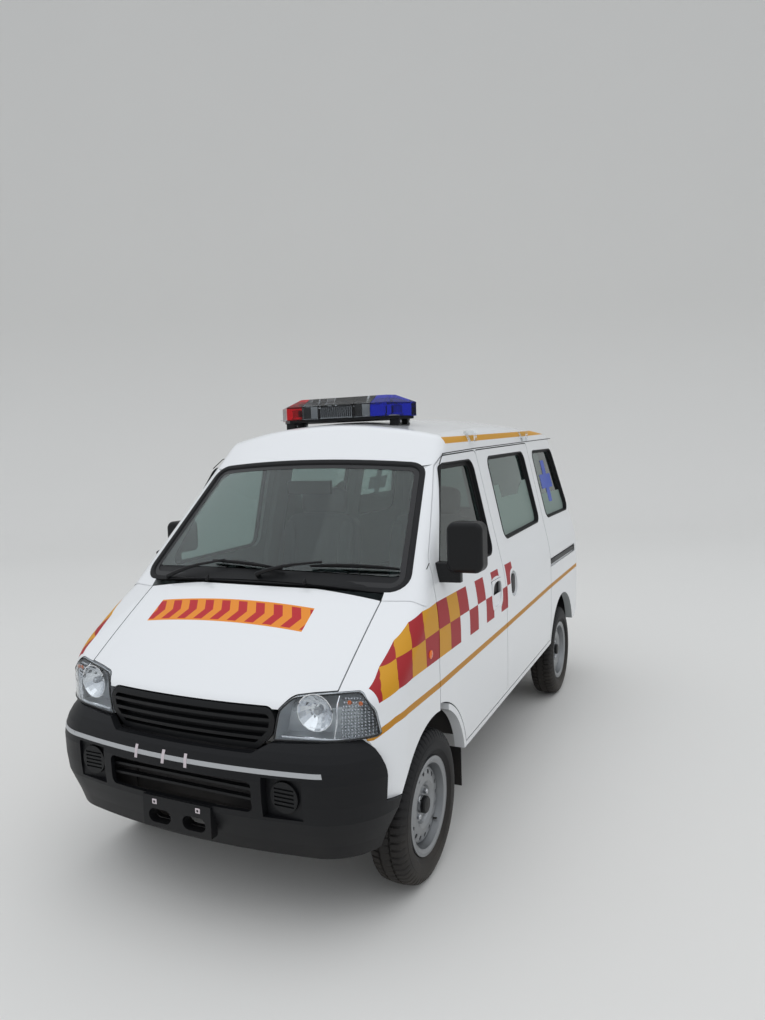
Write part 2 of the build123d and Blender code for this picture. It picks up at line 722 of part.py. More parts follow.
def wheel(axle_y, track, place, side):
    """Write one wheel's tyre and its steel rim, with the hub and drum behind it."""
    x = side * track / 2
    plane = Plane(origin=(x, axle_y, wheel_radius), x_dir=(side, 0, 0), z_dir=(0, -side, 0))
    axle = Axis((x, axle_y, wheel_radius), (side, 0, 0))
    with BuildPart() as tyre:
        with BuildSketch(plane):
            with BuildLine():
                draw_tyre()
                Line((0, rim_radius), (56, rim_radius))
                mirror(about=Plane.YZ)
            make_face()
        revolve(axis=axle)
    save(tyre.part, f"tyre_{place}")
    with BuildPart() as rim:
        with BuildSketch(plane):
            with BuildLine():
                Polyline((-64, 184), (-57.5, 184), (-57.5, rim_radius), (57.5, rim_radius), (57.5, 184), (64, 184),
                         (66, 172), (60, 158), (20, 150), (8, 163), (-64, 163), close=True)
            make_face()
            with BuildLine():
                Polyline((12, 164), (20, 150), (36, 138), (42, 108), (44, 88), (36, 72), (26, 66), (26, 34), (44, 32),
                         (46, 0), (36, 0), (36, stub_radius + bore_clearance), (-48, stub_radius + bore_clearance),
                         (-48, 60), (-30, 62), (-30, 96), (6, 96), (18, 72), (28, 78), (36, 90), (34, 106), (28, 132),
                         (12, 142), (4, 164), close=True)
            make_face()
        revolve(axis=axle)
        with BuildSketch(Plane(origin=(x, axle_y, wheel_radius), x_dir=(0, 1, 0), z_dir=(side, 0, 0))):
            with PolarLocations(vent_ring_radius, vent_count):
                Circle(vent_radius)
        extrude(amount=60, mode=Mode.SUBTRACT)
    save(rim.part, f"rim_{place}")


for side, hand in ((1, "left"), (-1, "right")):
    wheel(front_axle_y, front_track, f"front_{hand}", side)
    wheel(rear_axle_y, rear_track, f"rear_{hand}", side)

with BuildPart() as knuckle_left:
    add(across(stub_radius, front_axle_y, wheel_radius, kingpin_x, front_track / 2 + 30))
    add(box((kingpin_x - 22, front_axle_y - 30, 215), (kingpin_x + 22, front_axle_y + 30, 405)))
save_pair(knuckle_left.part, "knuckle")

with BuildPart() as front_suspension:
    for side in (-1, 1):
        with BuildSketch(Plane.XY.offset(410)):
            with Locations((side * kingpin_x, front_axle_y)):
                Circle(22)
        extrude(amount=250)
        xs = sorted((side * 300, side * kingpin_x))
        add(box((xs[0], front_axle_y - 35, 180), (xs[1], front_axle_y + 35, 208)))
        xs = sorted((side * 300, side * 360))
        add(box((xs[0], front_axle_y - 35, 180), (xs[1], front_axle_y + 35, 380)))
save(front_suspension.part, "front_suspension")

axle_tube_radius = 34
spring_x = 330
with BuildPart() as rear_axle:
    with BuildSketch(Plane(origin=(0, rear_axle_y, wheel_radius), x_dir=(1, 0, 0), z_dir=(0, -1, 0))):
        with BuildLine():
            Polyline((0, 0), (rear_track / 2 + 30, 0), (rear_track / 2 + 30, stub_radius), (560, stub_radius),
                     (560, axle_tube_radius), (150, axle_tube_radius), (60, 104), (0, 104))
            mirror(about=Plane.YZ)
        make_face()
    revolve(axis=Axis((0, rear_axle_y, wheel_radius), (1, 0, 0)))
    with BuildSketch(Plane.XY.offset(wheel_radius + 12)):
        with Locations((-spring_x, rear_axle_y), (spring_x, rear_axle_y)):
            Circle(26)
    extrude(amount=380 - wheel_radius - 12)
save(rear_axle.part, "rear_axle")

save(box((60, 240, 250), (290, 800, 429)), "fuel_tank")

with BuildPart() as exhaust:
    with BuildSketch(Plane.XZ.offset(150)):
        with Locations((-220, 352)):
            Circle(19)
    extrude(amount=-1870)
    with BuildSketch(Plane.XZ.offset(-260)):
        with Locations((-220, 342)):
            Ellipse(80, 55)
    extrude(amount=-420)
save(exhaust.part, "exhaust")

# Cab
wheel_x = -340
with BuildPart() as dashboard:
    with BuildSketch(Plane.YZ.offset(-640)):
        with BuildLine():
            FilletPolyline((-1238, 760), (-1238, 1046), (-985, 1062), (-925, 1010), (-905, 900), (-965, 775),
                           radius=28, close=True)
        make_face()
    extrude(amount=1280)
    with BuildSketch(Plane.YZ.offset(wheel_x - 150)):
        with BuildLine():
            FilletPolyline((-1150, 1040), (-1120, 1108), (-960, 1118), (-915, 1040), radius=20, close=True)
        make_face()
    extrude(amount=300)
    add(cabin(wall + 6, deep_z), mode=Mode.INTERSECT)
column_way = Vector(0, 0.78, 0.63).normalized()
column_top = Vector(wheel_x, -812, 1010)
column_plane = Plane(origin=column_top - column_way * 30, x_dir=(1, 0, 0), z_dir=column_way)
with BuildPart() as steering_column:
    with BuildSketch(column_plane):
        Circle(32)
    extrude(amount=-150)
    with BuildSketch(column_plane):
        Circle(11)
    extrude(amount=26)
with BuildPart() as dash_and_column:
    add(dashboard.part)
    add(steering_column.part)
save(dash_and_column.part, "dashboard")

rim_plane = Plane(origin=column_top, x_dir=(1, 0, 0), z_dir=column_way)
with BuildPart() as steering_wheel:
    with BuildSketch(Plane(origin=column_top, x_dir=(1, 0, 0), z_dir=rim_plane.y_dir)):
        with Locations((182, 0)):
            Circle(14)
    revolve(axis=Axis(column_top, column_way))
    with BuildSketch(rim_plane.offset(-20)):
        Circle(52)
    extrude(amount=30)
    with BuildSketch(rim_plane.offset(-9)):
        with Locations((0, 0)):
            Rectangle(350, 30)
        with Locations((0, -88)):
            Rectangle(34, 176)
    extrude(amount=16)
    with BuildSketch(rim_plane.offset(-40)):
        Circle(11 + bore_clearance)
    extrude(amount=40, mode=Mode.SUBTRACT)
save(steering_wheel.part, "steering_wheel")

with BuildPart() as front_seats:
    for x in (-330, 330):
        with BuildSketch(Plane.YZ.offset(x - 220)):
            with BuildLine():
                FilletPolyline((-690, 731), (-700, 850), (-260, 835), (-150, 1440), (-60, 1440), (-140, 731),
                               radius=[20, 40, 30, 40, 40, 20], close=True)
            make_face()
        extrude(amount=440)
save(front_seats.part, "front_seats")

save(box((-85, -872, 1465), (135, -847, 1525)), "inner_mirror")

# Load space
with BuildPart() as attendant_bench:
    add(box((-640, 60, 706), (-275, 1420, 790)))
    add(box((-425, 60, floor_z), (-280, 1420, 706)))
    add(box((-410, 80, floor_z), (-300, 1400, 690)), mode=Mode.SUBTRACT)
save(attendant_bench.part, "attendant_bench")

with BuildPart() as stretcher_frame:
    add(box((60, 0, 712), (590, 1620, 740)))
    for y in (60, 1560):
        for x in (90, 400):
            add(box((x - 15, y - 15, floor_z), (x + 15, y + 15, 712)))
save(stretcher_frame.part, "stretcher_frame")
save(box((70, 10, 740), (580, 1610, 810)), "stretcher_mattress")

# Outside fittings
mirror_low_z = 1168
mirror_high_z = 1368


def door_mirror(head_low, head_high, arm):
    """A left mirror, its head between two corners and its arm a plan outline, trimmed to the door."""
    with BuildPart() as head:
        add(box(head_low, head_high))
        fillet(head.edges().filter_by(Axis.Y), radius=34)
        fillet(head.faces().sort_by(Axis.Y)[0].edges(), radius=20)
    with BuildPart() as bracket:
        with BuildSketch(Plane.XY.offset(1128)):
            with BuildLine():
                FilletPolyline(*arm, radius=8, close=True)
            make_face()
        extrude(amount=78)
        fillet(bracket.faces().sort_by(Axis.Z)[-1].edges(), radius=7)
    with BuildPart() as mirror:
        add(head.part)
        add(bracket.part)
        add(outer_cabin, mode=Mode.SUBTRACT)
    return mirror.part


# The right mirror is folded back along its window
mirror_out = door_mirror((738, -1042, mirror_low_z), (left_mirror_x, -968, mirror_high_z),
                         [(680, -1028), (700, -1034), (790, -1022), (790, -988), (700, -976), (680, -980)])
mirror_folded = door_mirror((712, -902, mirror_low_z + 4), (right_mirror_x, -754, mirror_high_z - 34),
                            [(680, -1028), (742, -1026), (766, -984), (762, -860), (728, -860), (722, -976), (680, -976)])

# Handles lie in the recesses; the slide rail lies in the rear quarter's groove
with BuildPart() as door_handle:
    add(box((half_width - 22, -414, 890), (half_width - 8, -272, 950)))
    add(box((half_width - 22, -414, 950), (half_width - 18, -272, 1016)))
left_fittings = [*mirror_out.solids(), *door_handle.part.solids()]
right_fittings = [solid.mirror(Plane.YZ) for solid in (*mirror_folded.solids(), *door_handle.part.solids())]
save(Compound(children=left_fittings), "door_fittings_left")
save(Compound(children=right_fittings), "door_fittings_right")

with BuildPart() as slide_fittings:
    with BuildSketch(Plane.YZ.offset(half_width - 20)):
        with Locations((-44, 950)):
            RectangleRounded(54, 100, 26)
    extrude(amount=14)
    add(box((half_width - 16, 794, 918), (half_width - 3, 1528, 944)))
save_both(slide_fittings.part, "sliding_door_fittings")

with BuildPart() as wipers:
    for x, reach in ((-470, 300), (40, 300)):
        with BuildSketch(screen_plane.offset(2)):
            with Locations((x + reach / 2, 58)):
                Rectangle(reach, 12)
        extrude(amount=16)
save(wipers.part, "wipers")

with BuildPart() as mud_flaps:
    add(box((575, -846, 215), (712, -840, 381)))
save_both(mud_flaps.part, "mud_flaps")

# Light bar: pointed ends in plan, upright sides and a hipped top
bar_y = -433
bar_tip_x = 377
bar_corner_x = 277
bar_half_depth = 118
bar_low_z = 1814
bar_eaves_z = 1880
bar_top_z = 1920
bar_colour_x = 187
bar_seam = 2


def bar_outline(inset):
    """The corners of the light bar's six-sided outline in plan."""
    tip, corner, depth = bar_tip_x - inset, bar_corner_x - inset / 2, bar_half_depth - inset
    right = [(-corner, bar_y + depth), (-tip, bar_y), (-corner, bar_y - depth)]
    return right + [(-x, y) for x, y in reversed(right)]


with BuildPart() as light_bar_base:
    with BuildSketch(Plane.XY.offset(bar_low_z - 12)):
        with BuildLine():
            Polyline(*bar_outline(14), close=True)
        make_face()
    extrude(amount=12)
    for x in (-290, 290):
        for y in (bar_y - 50, bar_y + 50):
            add(box((x - 24, y - 16, 1740), (x + 24, y + 16, bar_low_z - 11)))
    add(outer_cabin, mode=Mode.SUBTRACT)
save(light_bar_base.part, "light_bar_base")

with BuildPart() as light_bar:
    with BuildSketch(Plane.XY.offset(bar_low_z)):
        with BuildLine():
            Polyline(*bar_outline(0), close=True)
        make_face()
    extrude(amount=bar_eaves_z - bar_low_z)
    extrude(light_bar.faces().sort_by(Axis.Z)[-1], amount=bar_top_z - bar_eaves_z, taper=64)
lens_spans = (
    ("red", -bar_tip_x, -bar_colour_x - bar_seam),
    ("clear", -bar_colour_x, bar_colour_x),
    ("blue", bar_colour_x + bar_seam, bar_tip_x),
)
for name, low_x, high_x in lens_spans:
    with BuildPart() as lens:
        add(light_bar.part)
        add(box((low_x, bar_y - 200, 1800), (high_x, bar_y + 200, 1950)), mode=Mode.INTERSECT)
    save(lens.part, f"light_bar_{name}")

with BuildPart() as roof_side_lamps:
    for y in (-256, 732):
        add(box((560, y - 26, 1682), (612, y + 26, 1736)))
    add(outer_cabin, mode=Mode.SUBTRACT)
save_both(roof_side_lamps.part, "roof_side_lamps")

# Rear end
with BuildPart() as tail_lamps:
    add(cabin_wall.part)
    add(box(lamp_low, lamp_high), mode=Mode.INTERSECT)
save_both(tail_lamps.part, "tail_lamps")

with BuildPart() as rear_bumper:
    with BuildSketch(Plane.XY.offset(rear_bumper_z[0])):
        with BuildLine():
            Polyline((-664, tail_y - wall + 3), (-664, half_length), (664, half_length), (664, tail_y - wall + 3),
                     close=True)
        make_face()
        fillet(vertices().sort_by(Axis.Y)[-2:], radius=70)
    extrude(amount=rear_bumper_z[1] - rear_bumper_z[0])
save(rear_bumper.part, "rear_bumper")
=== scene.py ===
# %% [markdown]
# A small white van fitted out as an ambulance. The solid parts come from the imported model, the frame, at
# their real size and place. This lesson gives them their finishes and adds what a solid model leaves out:
# paint films, rubber seals, lamp insides, tyre tread, padded seats and small fittings. Everything is in
# metres: X is the vehicle's left, Y its rear and Z up.

# %% Load the frame
import json
import math

import bmesh
import bpy
from mathutils import Matrix, Vector
from mathutils.bvhtree import BVHTree


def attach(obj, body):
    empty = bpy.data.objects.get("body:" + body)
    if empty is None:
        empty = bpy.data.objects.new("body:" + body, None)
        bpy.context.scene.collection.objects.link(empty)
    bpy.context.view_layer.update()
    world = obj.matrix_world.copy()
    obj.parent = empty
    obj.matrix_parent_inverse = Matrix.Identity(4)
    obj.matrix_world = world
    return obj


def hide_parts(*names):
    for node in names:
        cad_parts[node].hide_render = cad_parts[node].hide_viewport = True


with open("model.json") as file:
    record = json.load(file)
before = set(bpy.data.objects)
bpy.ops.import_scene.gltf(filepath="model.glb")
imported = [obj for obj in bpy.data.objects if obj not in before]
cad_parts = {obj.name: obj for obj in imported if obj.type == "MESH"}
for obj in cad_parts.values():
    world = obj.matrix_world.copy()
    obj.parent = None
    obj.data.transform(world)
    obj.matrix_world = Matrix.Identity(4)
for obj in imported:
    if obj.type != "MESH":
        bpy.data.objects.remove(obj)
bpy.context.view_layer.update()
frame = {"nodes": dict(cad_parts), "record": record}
nodes = frame["nodes"]
scene = bpy.context.scene
scene.view_settings.view_transform = "Standard"

# %% [markdown]
# The frame's origin lies under the middle of the whole outline. One mirror stands out and the other is
# folded, so the vehicle's middle plane is 50 mm to the right of the origin. The steps below measure
# across the vehicle from that plane, and `solid` moves each finished piece over. With one value for the
# plane, both sides share the same numbers.

# %% Middle plane
MIDDLE_X = -0.05
print("middle plane at", MIDDLE_X)

# %% [markdown]
# The camera stands ahead of the vehicle and to its left, a little under roof height, and is turned a hair
# about its own axis. A camera could be placed by eye, but then sizes can't be compared with a picture.
# Its place and its lens come from matching corners of the body with their places in the picture.

# %% Camera
IMAGE_SIZE = (765, 1020)
FOCAL_PIXELS = 746.4
SENSOR = 36.0
eye = Vector((1.7638 + MIDDLE_X, -3.7614, 1.6625))
heading, downward, tilt = 0.4437, 0.0823, -0.0307
camera_data = bpy.data.cameras.new("camera")
camera_data.sensor_fit = "VERTICAL"
camera_data.sensor_height = SENSOR
camera_data.lens = FOCAL_PIXELS * SENSOR / IMAGE_SIZE[1]
camera = bpy.data.objects.new("camera", camera_data)
scene.collection.objects.link(camera)
camera.matrix_world = (
    Matrix.Translation(eye)
    @ Matrix.Rotation(heading, 4, "Z")
    @ Matrix.Rotation(math.pi / 2 - downward, 4, "X")
    @ Matrix.Rotation(tilt, 4, "Z")
)
scene.camera = camera
print("lens", round(camera_data.lens, 2))

# %% [markdown]
# Colours are written as they look on a screen, from 0 to 255, and turned into the linear values that
# shaders use. Nodes could be placed by hand in the Shader Editor. In a script a tree is easy to read when
# one line makes a node, sets it and joins its inputs: `put` does that for any node, `calc` for a Math
# node and `mix_colour` for a mix of two colours. `new_group` starts a group with named inputs and
# outputs.

# %% Colour and shader helpers
def rgb(red, green, blue):
    """A screen colour as linear values with full alpha."""
    linear = []
    for level in (red, green, blue):
        share = level / 255
        linear.append(share / 12.92 if share <= 0.04045 else ((share + 0.055) / 1.055) ** 2.4)
    return (*linear, 1.0)


def put(tree, kind, inputs=None, **settings):
    """A node with its settings; each input is given a value or joined to another node's output."""
    node = tree.nodes.new(kind)
    for name, value in settings.items():
        setattr(node, name, value)
    for key, value in (inputs or {}).items():
        if isinstance(value, bpy.types.NodeSocket):
            tree.links.new(value, node.inputs[key])
        else:
            node.inputs[key].default_value = value
    return node


def calc(tree, operation, *terms):
    """The result of one Math node."""
    return put(tree, "ShaderNodeMath", dict(enumerate(terms)), operation=operation).outputs[0]


def mix_colour(tree, mask, first, second):
    """The first colour where the mask is 0 and the second where it is 1."""
    node = put(tree, "ShaderNodeMix", {0: mask, 6: first, 7: second}, data_type="RGBA")
    return node.outputs[2]


def new_group(name, inputs, outputs):
    """An empty shader group with named inputs (label, kind, value) and outputs (label, kind)."""
    group = bpy.data.node_groups.new(name, "ShaderNodeTree")
    for label, kind, value in inputs:
        socket = group.interface.new_socket(label, in_out="INPUT", socket_type="NodeSocket" + kind)
        socket.default_value = value
    for label, kind in outputs:
        group.interface.new_socket(label, in_out="OUTPUT", socket_type="NodeSocket" + kind)
    return group, group.nodes.new("NodeGroupInput"), group.nodes.new("NodeGroupOutput")


def object_place(tree):
    """The Object coordinates of the point that is shaded."""
    return put(tree, "ShaderNodeTexCoord").outputs["Object"]


print("middle grey as linear values", tuple(round(value, 3) for value in rgb(128, 128, 128)))

# %% [markdown]
# Most finishes share three effects. Nothing has one even colour, so `uneven_tone` lets it drift a little.
# Moulded plastic, rubber and cast metal have a fine grain, which `fine_grain` gives as a bump. A vehicle
# that stands on a street gathers a thin film of dust low down, which `road_dust` fades in towards the
# ground. Each could be drawn again in every material; as groups they are built once and placed with each
# material's own values.

# %% Shared shader groups
DUST = rgb(150, 138, 122)


def make_uneven_tone():
    """A colour that drifts slowly, and the noise behind it."""
    group, given, result = new_group(
        "uneven_tone",
        [("Colour", "Color", (0.5, 0.5, 0.5, 1)), ("Scale", "Float", 3.0), ("Amount", "Float", 0.05)],
        [("Colour", "Color"), ("Value", "Float")],
    )
    noise = put(group, "ShaderNodeTexNoise", {"Vector": object_place(group), "Scale": given.outputs["Scale"],
                                              "Detail": 4.0})
    centred = calc(group, "SUBTRACT", noise.outputs[0], 0.5)
    factor = calc(group, "MULTIPLY_ADD", centred, given.outputs["Amount"], 1.0)
    tinted = put(group, "ShaderNodeVectorMath", {0: given.outputs["Colour"]}, operation="SCALE")
    group.links.new(factor, tinted.inputs["Scale"])
    group.links.new(tinted.outputs[0], result.inputs["Colour"])
    group.links.new(noise.outputs[0], result.inputs["Value"])
    return group


def make_fine_grain():
    """A bumped normal of fine grain."""
    group, given, result = new_group(
        "fine_grain",
        [("Scale", "Float", 900.0), ("Depth", "Float", 0.0002), ("Strength", "Float", 0.3)],
        [("Normal", "Vector"), ("Value", "Float")],
    )
    noise = put(group, "ShaderNodeTexNoise", {"Vector": object_place(group), "Scale": given.outputs["Scale"],
                                              "Detail": 2.0})
    bump = put(group, "ShaderNodeBump", {"Strength": given.outputs["Strength"],
                                         "Distance": given.outputs["Depth"], "Height": noise.outputs[0]})
    group.links.new(bump.outputs[0], result.inputs["Normal"])
    group.links.new(noise.outputs[0], result.inputs["Value"])
    return group


def make_road_dust():
    """A colour under dust that thickens towards the ground, and the dust's share."""
    group, given, result = new_group(
        "road_dust",
        [("Colour", "Color", (0.5, 0.5, 0.5, 1)), ("Reach", "Float", 0.45), ("Amount", "Float", 0.3)],
        [("Colour", "Color"), ("Film", "Float")],
    )
    place = object_place(group)
    height = put(group, "ShaderNodeSeparateXYZ", {0: place}).outputs[2]
    fade = put(group, "ShaderNodeMapRange", {"Value": height, "From Min": given.outputs["Reach"],
                                             "From Max": 0.0, "To Min": 0.0, "To Max": 1.0})
    noise = put(group, "ShaderNodeTexNoise", {"Vector": place, "Scale": 9.0, "Detail": 6.0})
    patchy = calc(group, "MULTIPLY", fade.outputs[0], noise.outputs[0])
    film = calc(group, "MULTIPLY", patchy, given.outputs["Amount"])
    colour = mix_colour(group, film, given.outputs["Colour"], DUST)
    group.links.new(colour, result.inputs["Colour"])
    group.links.new(film, result.inputs["Film"])
    return group


uneven_tone = make_uneven_tone()
fine_grain = make_fine_grain()
road_dust = make_road_dust()
print("shader groups", [group.name for group in (uneven_tone, fine_grain, road_dust)])

# %% [markdown]
# One function makes every plain finish. It writes what is the same all over straight on the Principled
# BSDF, and lets the groups feed only what changes over the surface: colour, roughness and the bumped
# normal. What a call leaves out has a usual value.

# %% Finish maker
def use_group(tree, group, **inputs):
    """A group placed in a material with its own values."""
    node = tree.nodes.new("ShaderNodeGroup")
    node.node_tree = group
    for label, value in inputs.items():
        if isinstance(value, bpy.types.NodeSocket):
            tree.links.new(value, node.inputs[label])
        else:
            node.inputs[label].default_value = value
    return node


def empty_material(name):
    """A material with only its Principled BSDF and its output."""
    material = bpy.data.materials.new(name)
    material.use_nodes = True
    return material, material.node_tree, material.node_tree.nodes["Principled BSDF"]


def make_finish(name, colour, roughness, grain=(900.0, 0.0002, 0.3), tone=(3.0, 0.06), dust=0.0, reach=0.45,
                spread=0.1, **sockets):
    """A finish whose colour and roughness drift, which has a grain and which may be dusty low down."""
    material, tree, shader = empty_material(name)
    drift = use_group(tree, uneven_tone, Colour=colour, Scale=tone[0], Amount=tone[1])
    shown = drift.outputs["Colour"]
    if dust:
        shown = use_group(tree, road_dust, Colour=shown, Reach=reach, Amount=dust).outputs["Colour"]
    tree.links.new(shown, shader.inputs["Base Color"])
    fine = use_group(tree, fine_grain, Scale=grain[0], Depth=grain[1], Strength=grain[2])
    tree.links.new(fine.outputs["Normal"], shader.inputs["Normal"])
    rough = put(tree, "ShaderNodeMapRange", {"Value": drift.outputs["Value"], "From Min": 0.3,
                                             "From Max": 0.7, "To Min": roughness - spread / 2,
                                             "To Max": roughness + spread / 2})
    tree.links.new(rough.outputs[0], shader.inputs["Roughness"])
    for label, value in sockets.items():
        shader.inputs[label.replace("_", " ")].default_value = value
    return material


print("values of a finish", make_finish.__defaults__)

# %% [markdown]
# Plastic, rubber, metal and lamp parts differ in colour, shine and grain. Bumper plastic has a deeper
# grain than trim and is duller, the chassis gathers the most dust, and the lamps' reflectors are nearly
# mirrors. Each could be a material drawn by hand; here each is one call of the maker.

# %% Plain finishes
finish = {
    "bumper": make_finish("bumper_plastic", rgb(13, 14, 17), 0.5, grain=(1400.0, 0.0003, 0.35), dust=0.08,
                          Specular_IOR_Level=0.3),
    "trim": make_finish("trim_plastic", rgb(15, 16, 18), 0.42, grain=(1200.0, 0.0002, 0.3),
                        Specular_IOR_Level=0.3),
    "rubber": make_finish("seal_rubber", rgb(19, 19, 21), 0.6, grain=(700.0, 0.0002, 0.25), dust=0.2,
                          Specular_IOR_Level=0.3),
    "dash": make_finish("dash_plastic", rgb(58, 60, 64), 0.55, grain=(900.0, 0.0003, 0.4)),
    "lining": make_finish("cabin_lining", rgb(170, 170, 168), 0.8, grain=(500.0, 0.0004, 0.4)),
    "steel": make_finish("wheel_silver", rgb(150, 152, 154), 0.34, grain=(300.0, 0.0001, 0.15),
                         tone=(8.0, 0.12), Metallic=0.75),
    "chassis": make_finish("chassis_paint", rgb(48, 48, 50), 0.6, grain=(160.0, 0.0006, 0.5), tone=(6.0, 0.3),
                           dust=0.6, reach=0.6),
    "tube": make_finish("stretcher_tube", rgb(190, 192, 195), 0.25, grain=(200.0, 0.0001, 0.1), Metallic=0.9),
    "chrome": make_finish("lamp_reflector", rgb(235, 236, 238), 0.07, grain=(60.0, 0.0002, 0.05), spread=0.03,
                          Metallic=1.0),
    "lamp_grey": make_finish("lamp_housing", rgb(214, 217, 220), 0.28, grain=(60.0, 0.0002, 0.05),
                             spread=0.06, Metallic=0.45),
    "lamp_black": make_finish("lamp_surround", rgb(18, 18, 20), 0.3),
    "amber": make_finish("amber_lens", rgb(235, 110, 20), 0.12, grain=(350.0, 0.0003, 0.3), spread=0.04,
                         Coat_Weight=0.6),
    "tail_red": make_finish("tail_lens_red", rgb(170, 12, 20), 0.12, grain=(300.0, 0.0004, 0.3), spread=0.04,
                            Coat_Weight=0.6),
}
print("finishes", sorted(finish))

# %% [markdown]
# The white paint carries the livery. On the real vehicle the checks and stripes are cut from coloured
# film and laid on the panels, so they run straight over the door gaps. A pattern read from Object
# coordinates does the same: every panel lies in the same frame, and the checks meet across the gaps even
# though each door has its own mesh. Columns are counted along the vehicle; near the nose their bounds
# lean, because the film follows the rounded corner. The column's number and the row tell the colour, as
# on a chess board. An image wrapped on the panels could do this too, but it would have to be unwrapped on
# every panel, and it blurs when it is seen close.

# %% Livery measures
CHECK_START, CHECK_END = -1.579, -0.053
DOOR_FIRST, DOOR_PITCH = -1.115, 0.118
# Columns past this number are red and bare paint, without yellow
YELLOW_COLUMNS = 6.5
# Bounds of the columns ahead of the door, each a line of (height, place) points
nose_bounds = (
    ((0.800, -1.570), (0.820, -1.567), (0.855, -1.559), (0.886, -1.537), (0.914, -1.504)),
    ((0.843, -1.497), (0.877, -1.491), (0.908, -1.474), (0.937, -1.450), (0.969, -1.417), (0.984, -1.397)),
    ((0.849, -1.394), (0.885, -1.394), (0.920, -1.390), (0.951, -1.374), (1.006, -1.338), (1.032, -1.312)),
    ((0.848, -1.261), (0.922, -1.265), (0.957, -1.263), (0.992, -1.264), (1.024, -1.254), (1.054, -1.235)),
    ((0.843, -1.127), (0.960, -1.119), (1.064, -1.111)))
# The middle line and the upper edge of the checks follow the wing down to the lamp: (place, height)
wing_middle = ((-1.60, 0.875), (-1.506, 0.913), (-1.448, 0.936), (-1.374, 0.951), (-1.263, 0.957),
               (-1.118, 0.960))
wing_edge = ((-1.60, 0.846), (-1.576, 0.863), (-1.502, 0.915), (-1.398, 0.983), (-1.314, 1.03),
             (-1.232, 1.055), (-1.10, 1.064))
wing_foot = ((-1.60, 0.806), (-1.568, 0.819), (-1.494, 0.843), (-1.40, 0.851))
stripe_line = ((-1.60, 0.706), (-1.568, 0.722), (-1.518, 0.741), (-1.442, 0.750), (-1.124, 0.748),
               (-0.20, 0.764), (0.73, 0.786), (1.78, 0.798))
STRIPE_HALF, ROOF_BAND_HALF = 0.0125, 0.0145
# The roof band: its start, its height there and its slope
ROOF_BAND = (-0.6, 1.690, 0.0255)
# The bonnet's panel: its reach across and along, and the slanted bars on it
BONNET_PANEL = ((-0.423, 0.318), (-1.4485, -1.3475))
BAR_PITCH, BAR_SLANT, PANEL_RIM, PANEL_FOOT = 0.0823, 0.6, 0.007, 0.95
# How far out from the middle plane the checks, the stripe and the roof band begin
CHECKS_FROM, STRIPE_FROM, ROOF_BAND_FROM = 0.62, 0.66, 0.5
# Bare ovals round the two handles: centre and half sizes, with sides squarer than an ellipse's
recess_ovals = ((-0.343, 0.953, 0.088, 0.082), (-0.044, 0.950, 0.066, 0.080))
OVAL_POWER = 3.0
film = {"red": rgb(160, 6, 20), "yellow": rgb(206, 146, 2), "amber": rgb(190, 130, 14),
        "panel": rgb(232, 140, 28), "mark": rgb(186, 20, 30)}
print("film colours", sorted(film))

# %% [markdown]
# Each form of the livery is a mask, 1 where its film lies and 0 elsewhere. A line that bends, such as the
# upper edge of the checks, could be a row of straight stretches; a Float Curve through a few measured
# points needs one node. A step over that line gives a mask with a sharp edge.

# %% Lines and bounds for masks
def height_line(tree, along, points):
    """The height of a line through (place, height) points at a place; past its ends the line stays level."""
    low, high = points[0][0], points[-1][0]
    heights = [height for _, height in points]
    base, rise = min(heights), max(heights) - min(heights)
    share = put(tree, "ShaderNodeMapRange", {"Value": along, "From Min": low, "From Max": high})
    curve = put(tree, "ShaderNodeFloatCurve", {"Value": share.outputs[0]})
    track = curve.mapping.curves[0]
    marks = [((place - low) / (high - low), (height - base) / rise) for place, height in points]
    track.points[0].location, track.points[1].location = marks[0], marks[-1]
    for mark in marks[1:-1]:
        track.points.new(*mark)
    for point in track.points:
        point.handle_type = "VECTOR"
    curve.mapping.update()
    return calc(tree, "MULTIPLY_ADD", curve.outputs[0], rise, base)


def between(tree, value, low, high):
    """1 where a value lies between two bounds."""
    above = calc(tree, "GREATER_THAN", value, low)
    return calc(tree, "MULTIPLY", above, calc(tree, "LESS_THAN", value, high))


def every(tree, *masks):
    """1 where all masks are 1."""
    product = masks[0]
    for mask in masks[1:]:
        product = calc(tree, "MULTIPLY", product, mask)
    return product


print("bent bounds of the checks", len(nose_bounds))

# %% [markdown]
# The checks run from the headlamp to the front of the sliding door, in two rows. A column's number is how
# many bounds lie ahead of a point: the bent bounds on the fender and then one bound every 118 mm on the
# doors. Number and row together are odd or even, which parts the colours. Round each door handle an oval
# is left bare.

# %% Masks of the checks
def outside_oval(tree, y, z, oval):
    """1 outside an oval with squarish sides."""
    centre_y, centre_z, reach_y, reach_z = oval
    across = calc(tree, "DIVIDE", calc(tree, "SUBTRACT", y, centre_y), reach_y)
    upward = calc(tree, "DIVIDE", calc(tree, "SUBTRACT", z, centre_z), reach_z)
    square = calc(tree, "ADD", calc(tree, "POWER", calc(tree, "ABSOLUTE", across), OVAL_POWER),
                  calc(tree, "POWER", calc(tree, "ABSOLUTE", upward), OVAL_POWER))
    return calc(tree, "GREATER_THAN", square, 1.0)


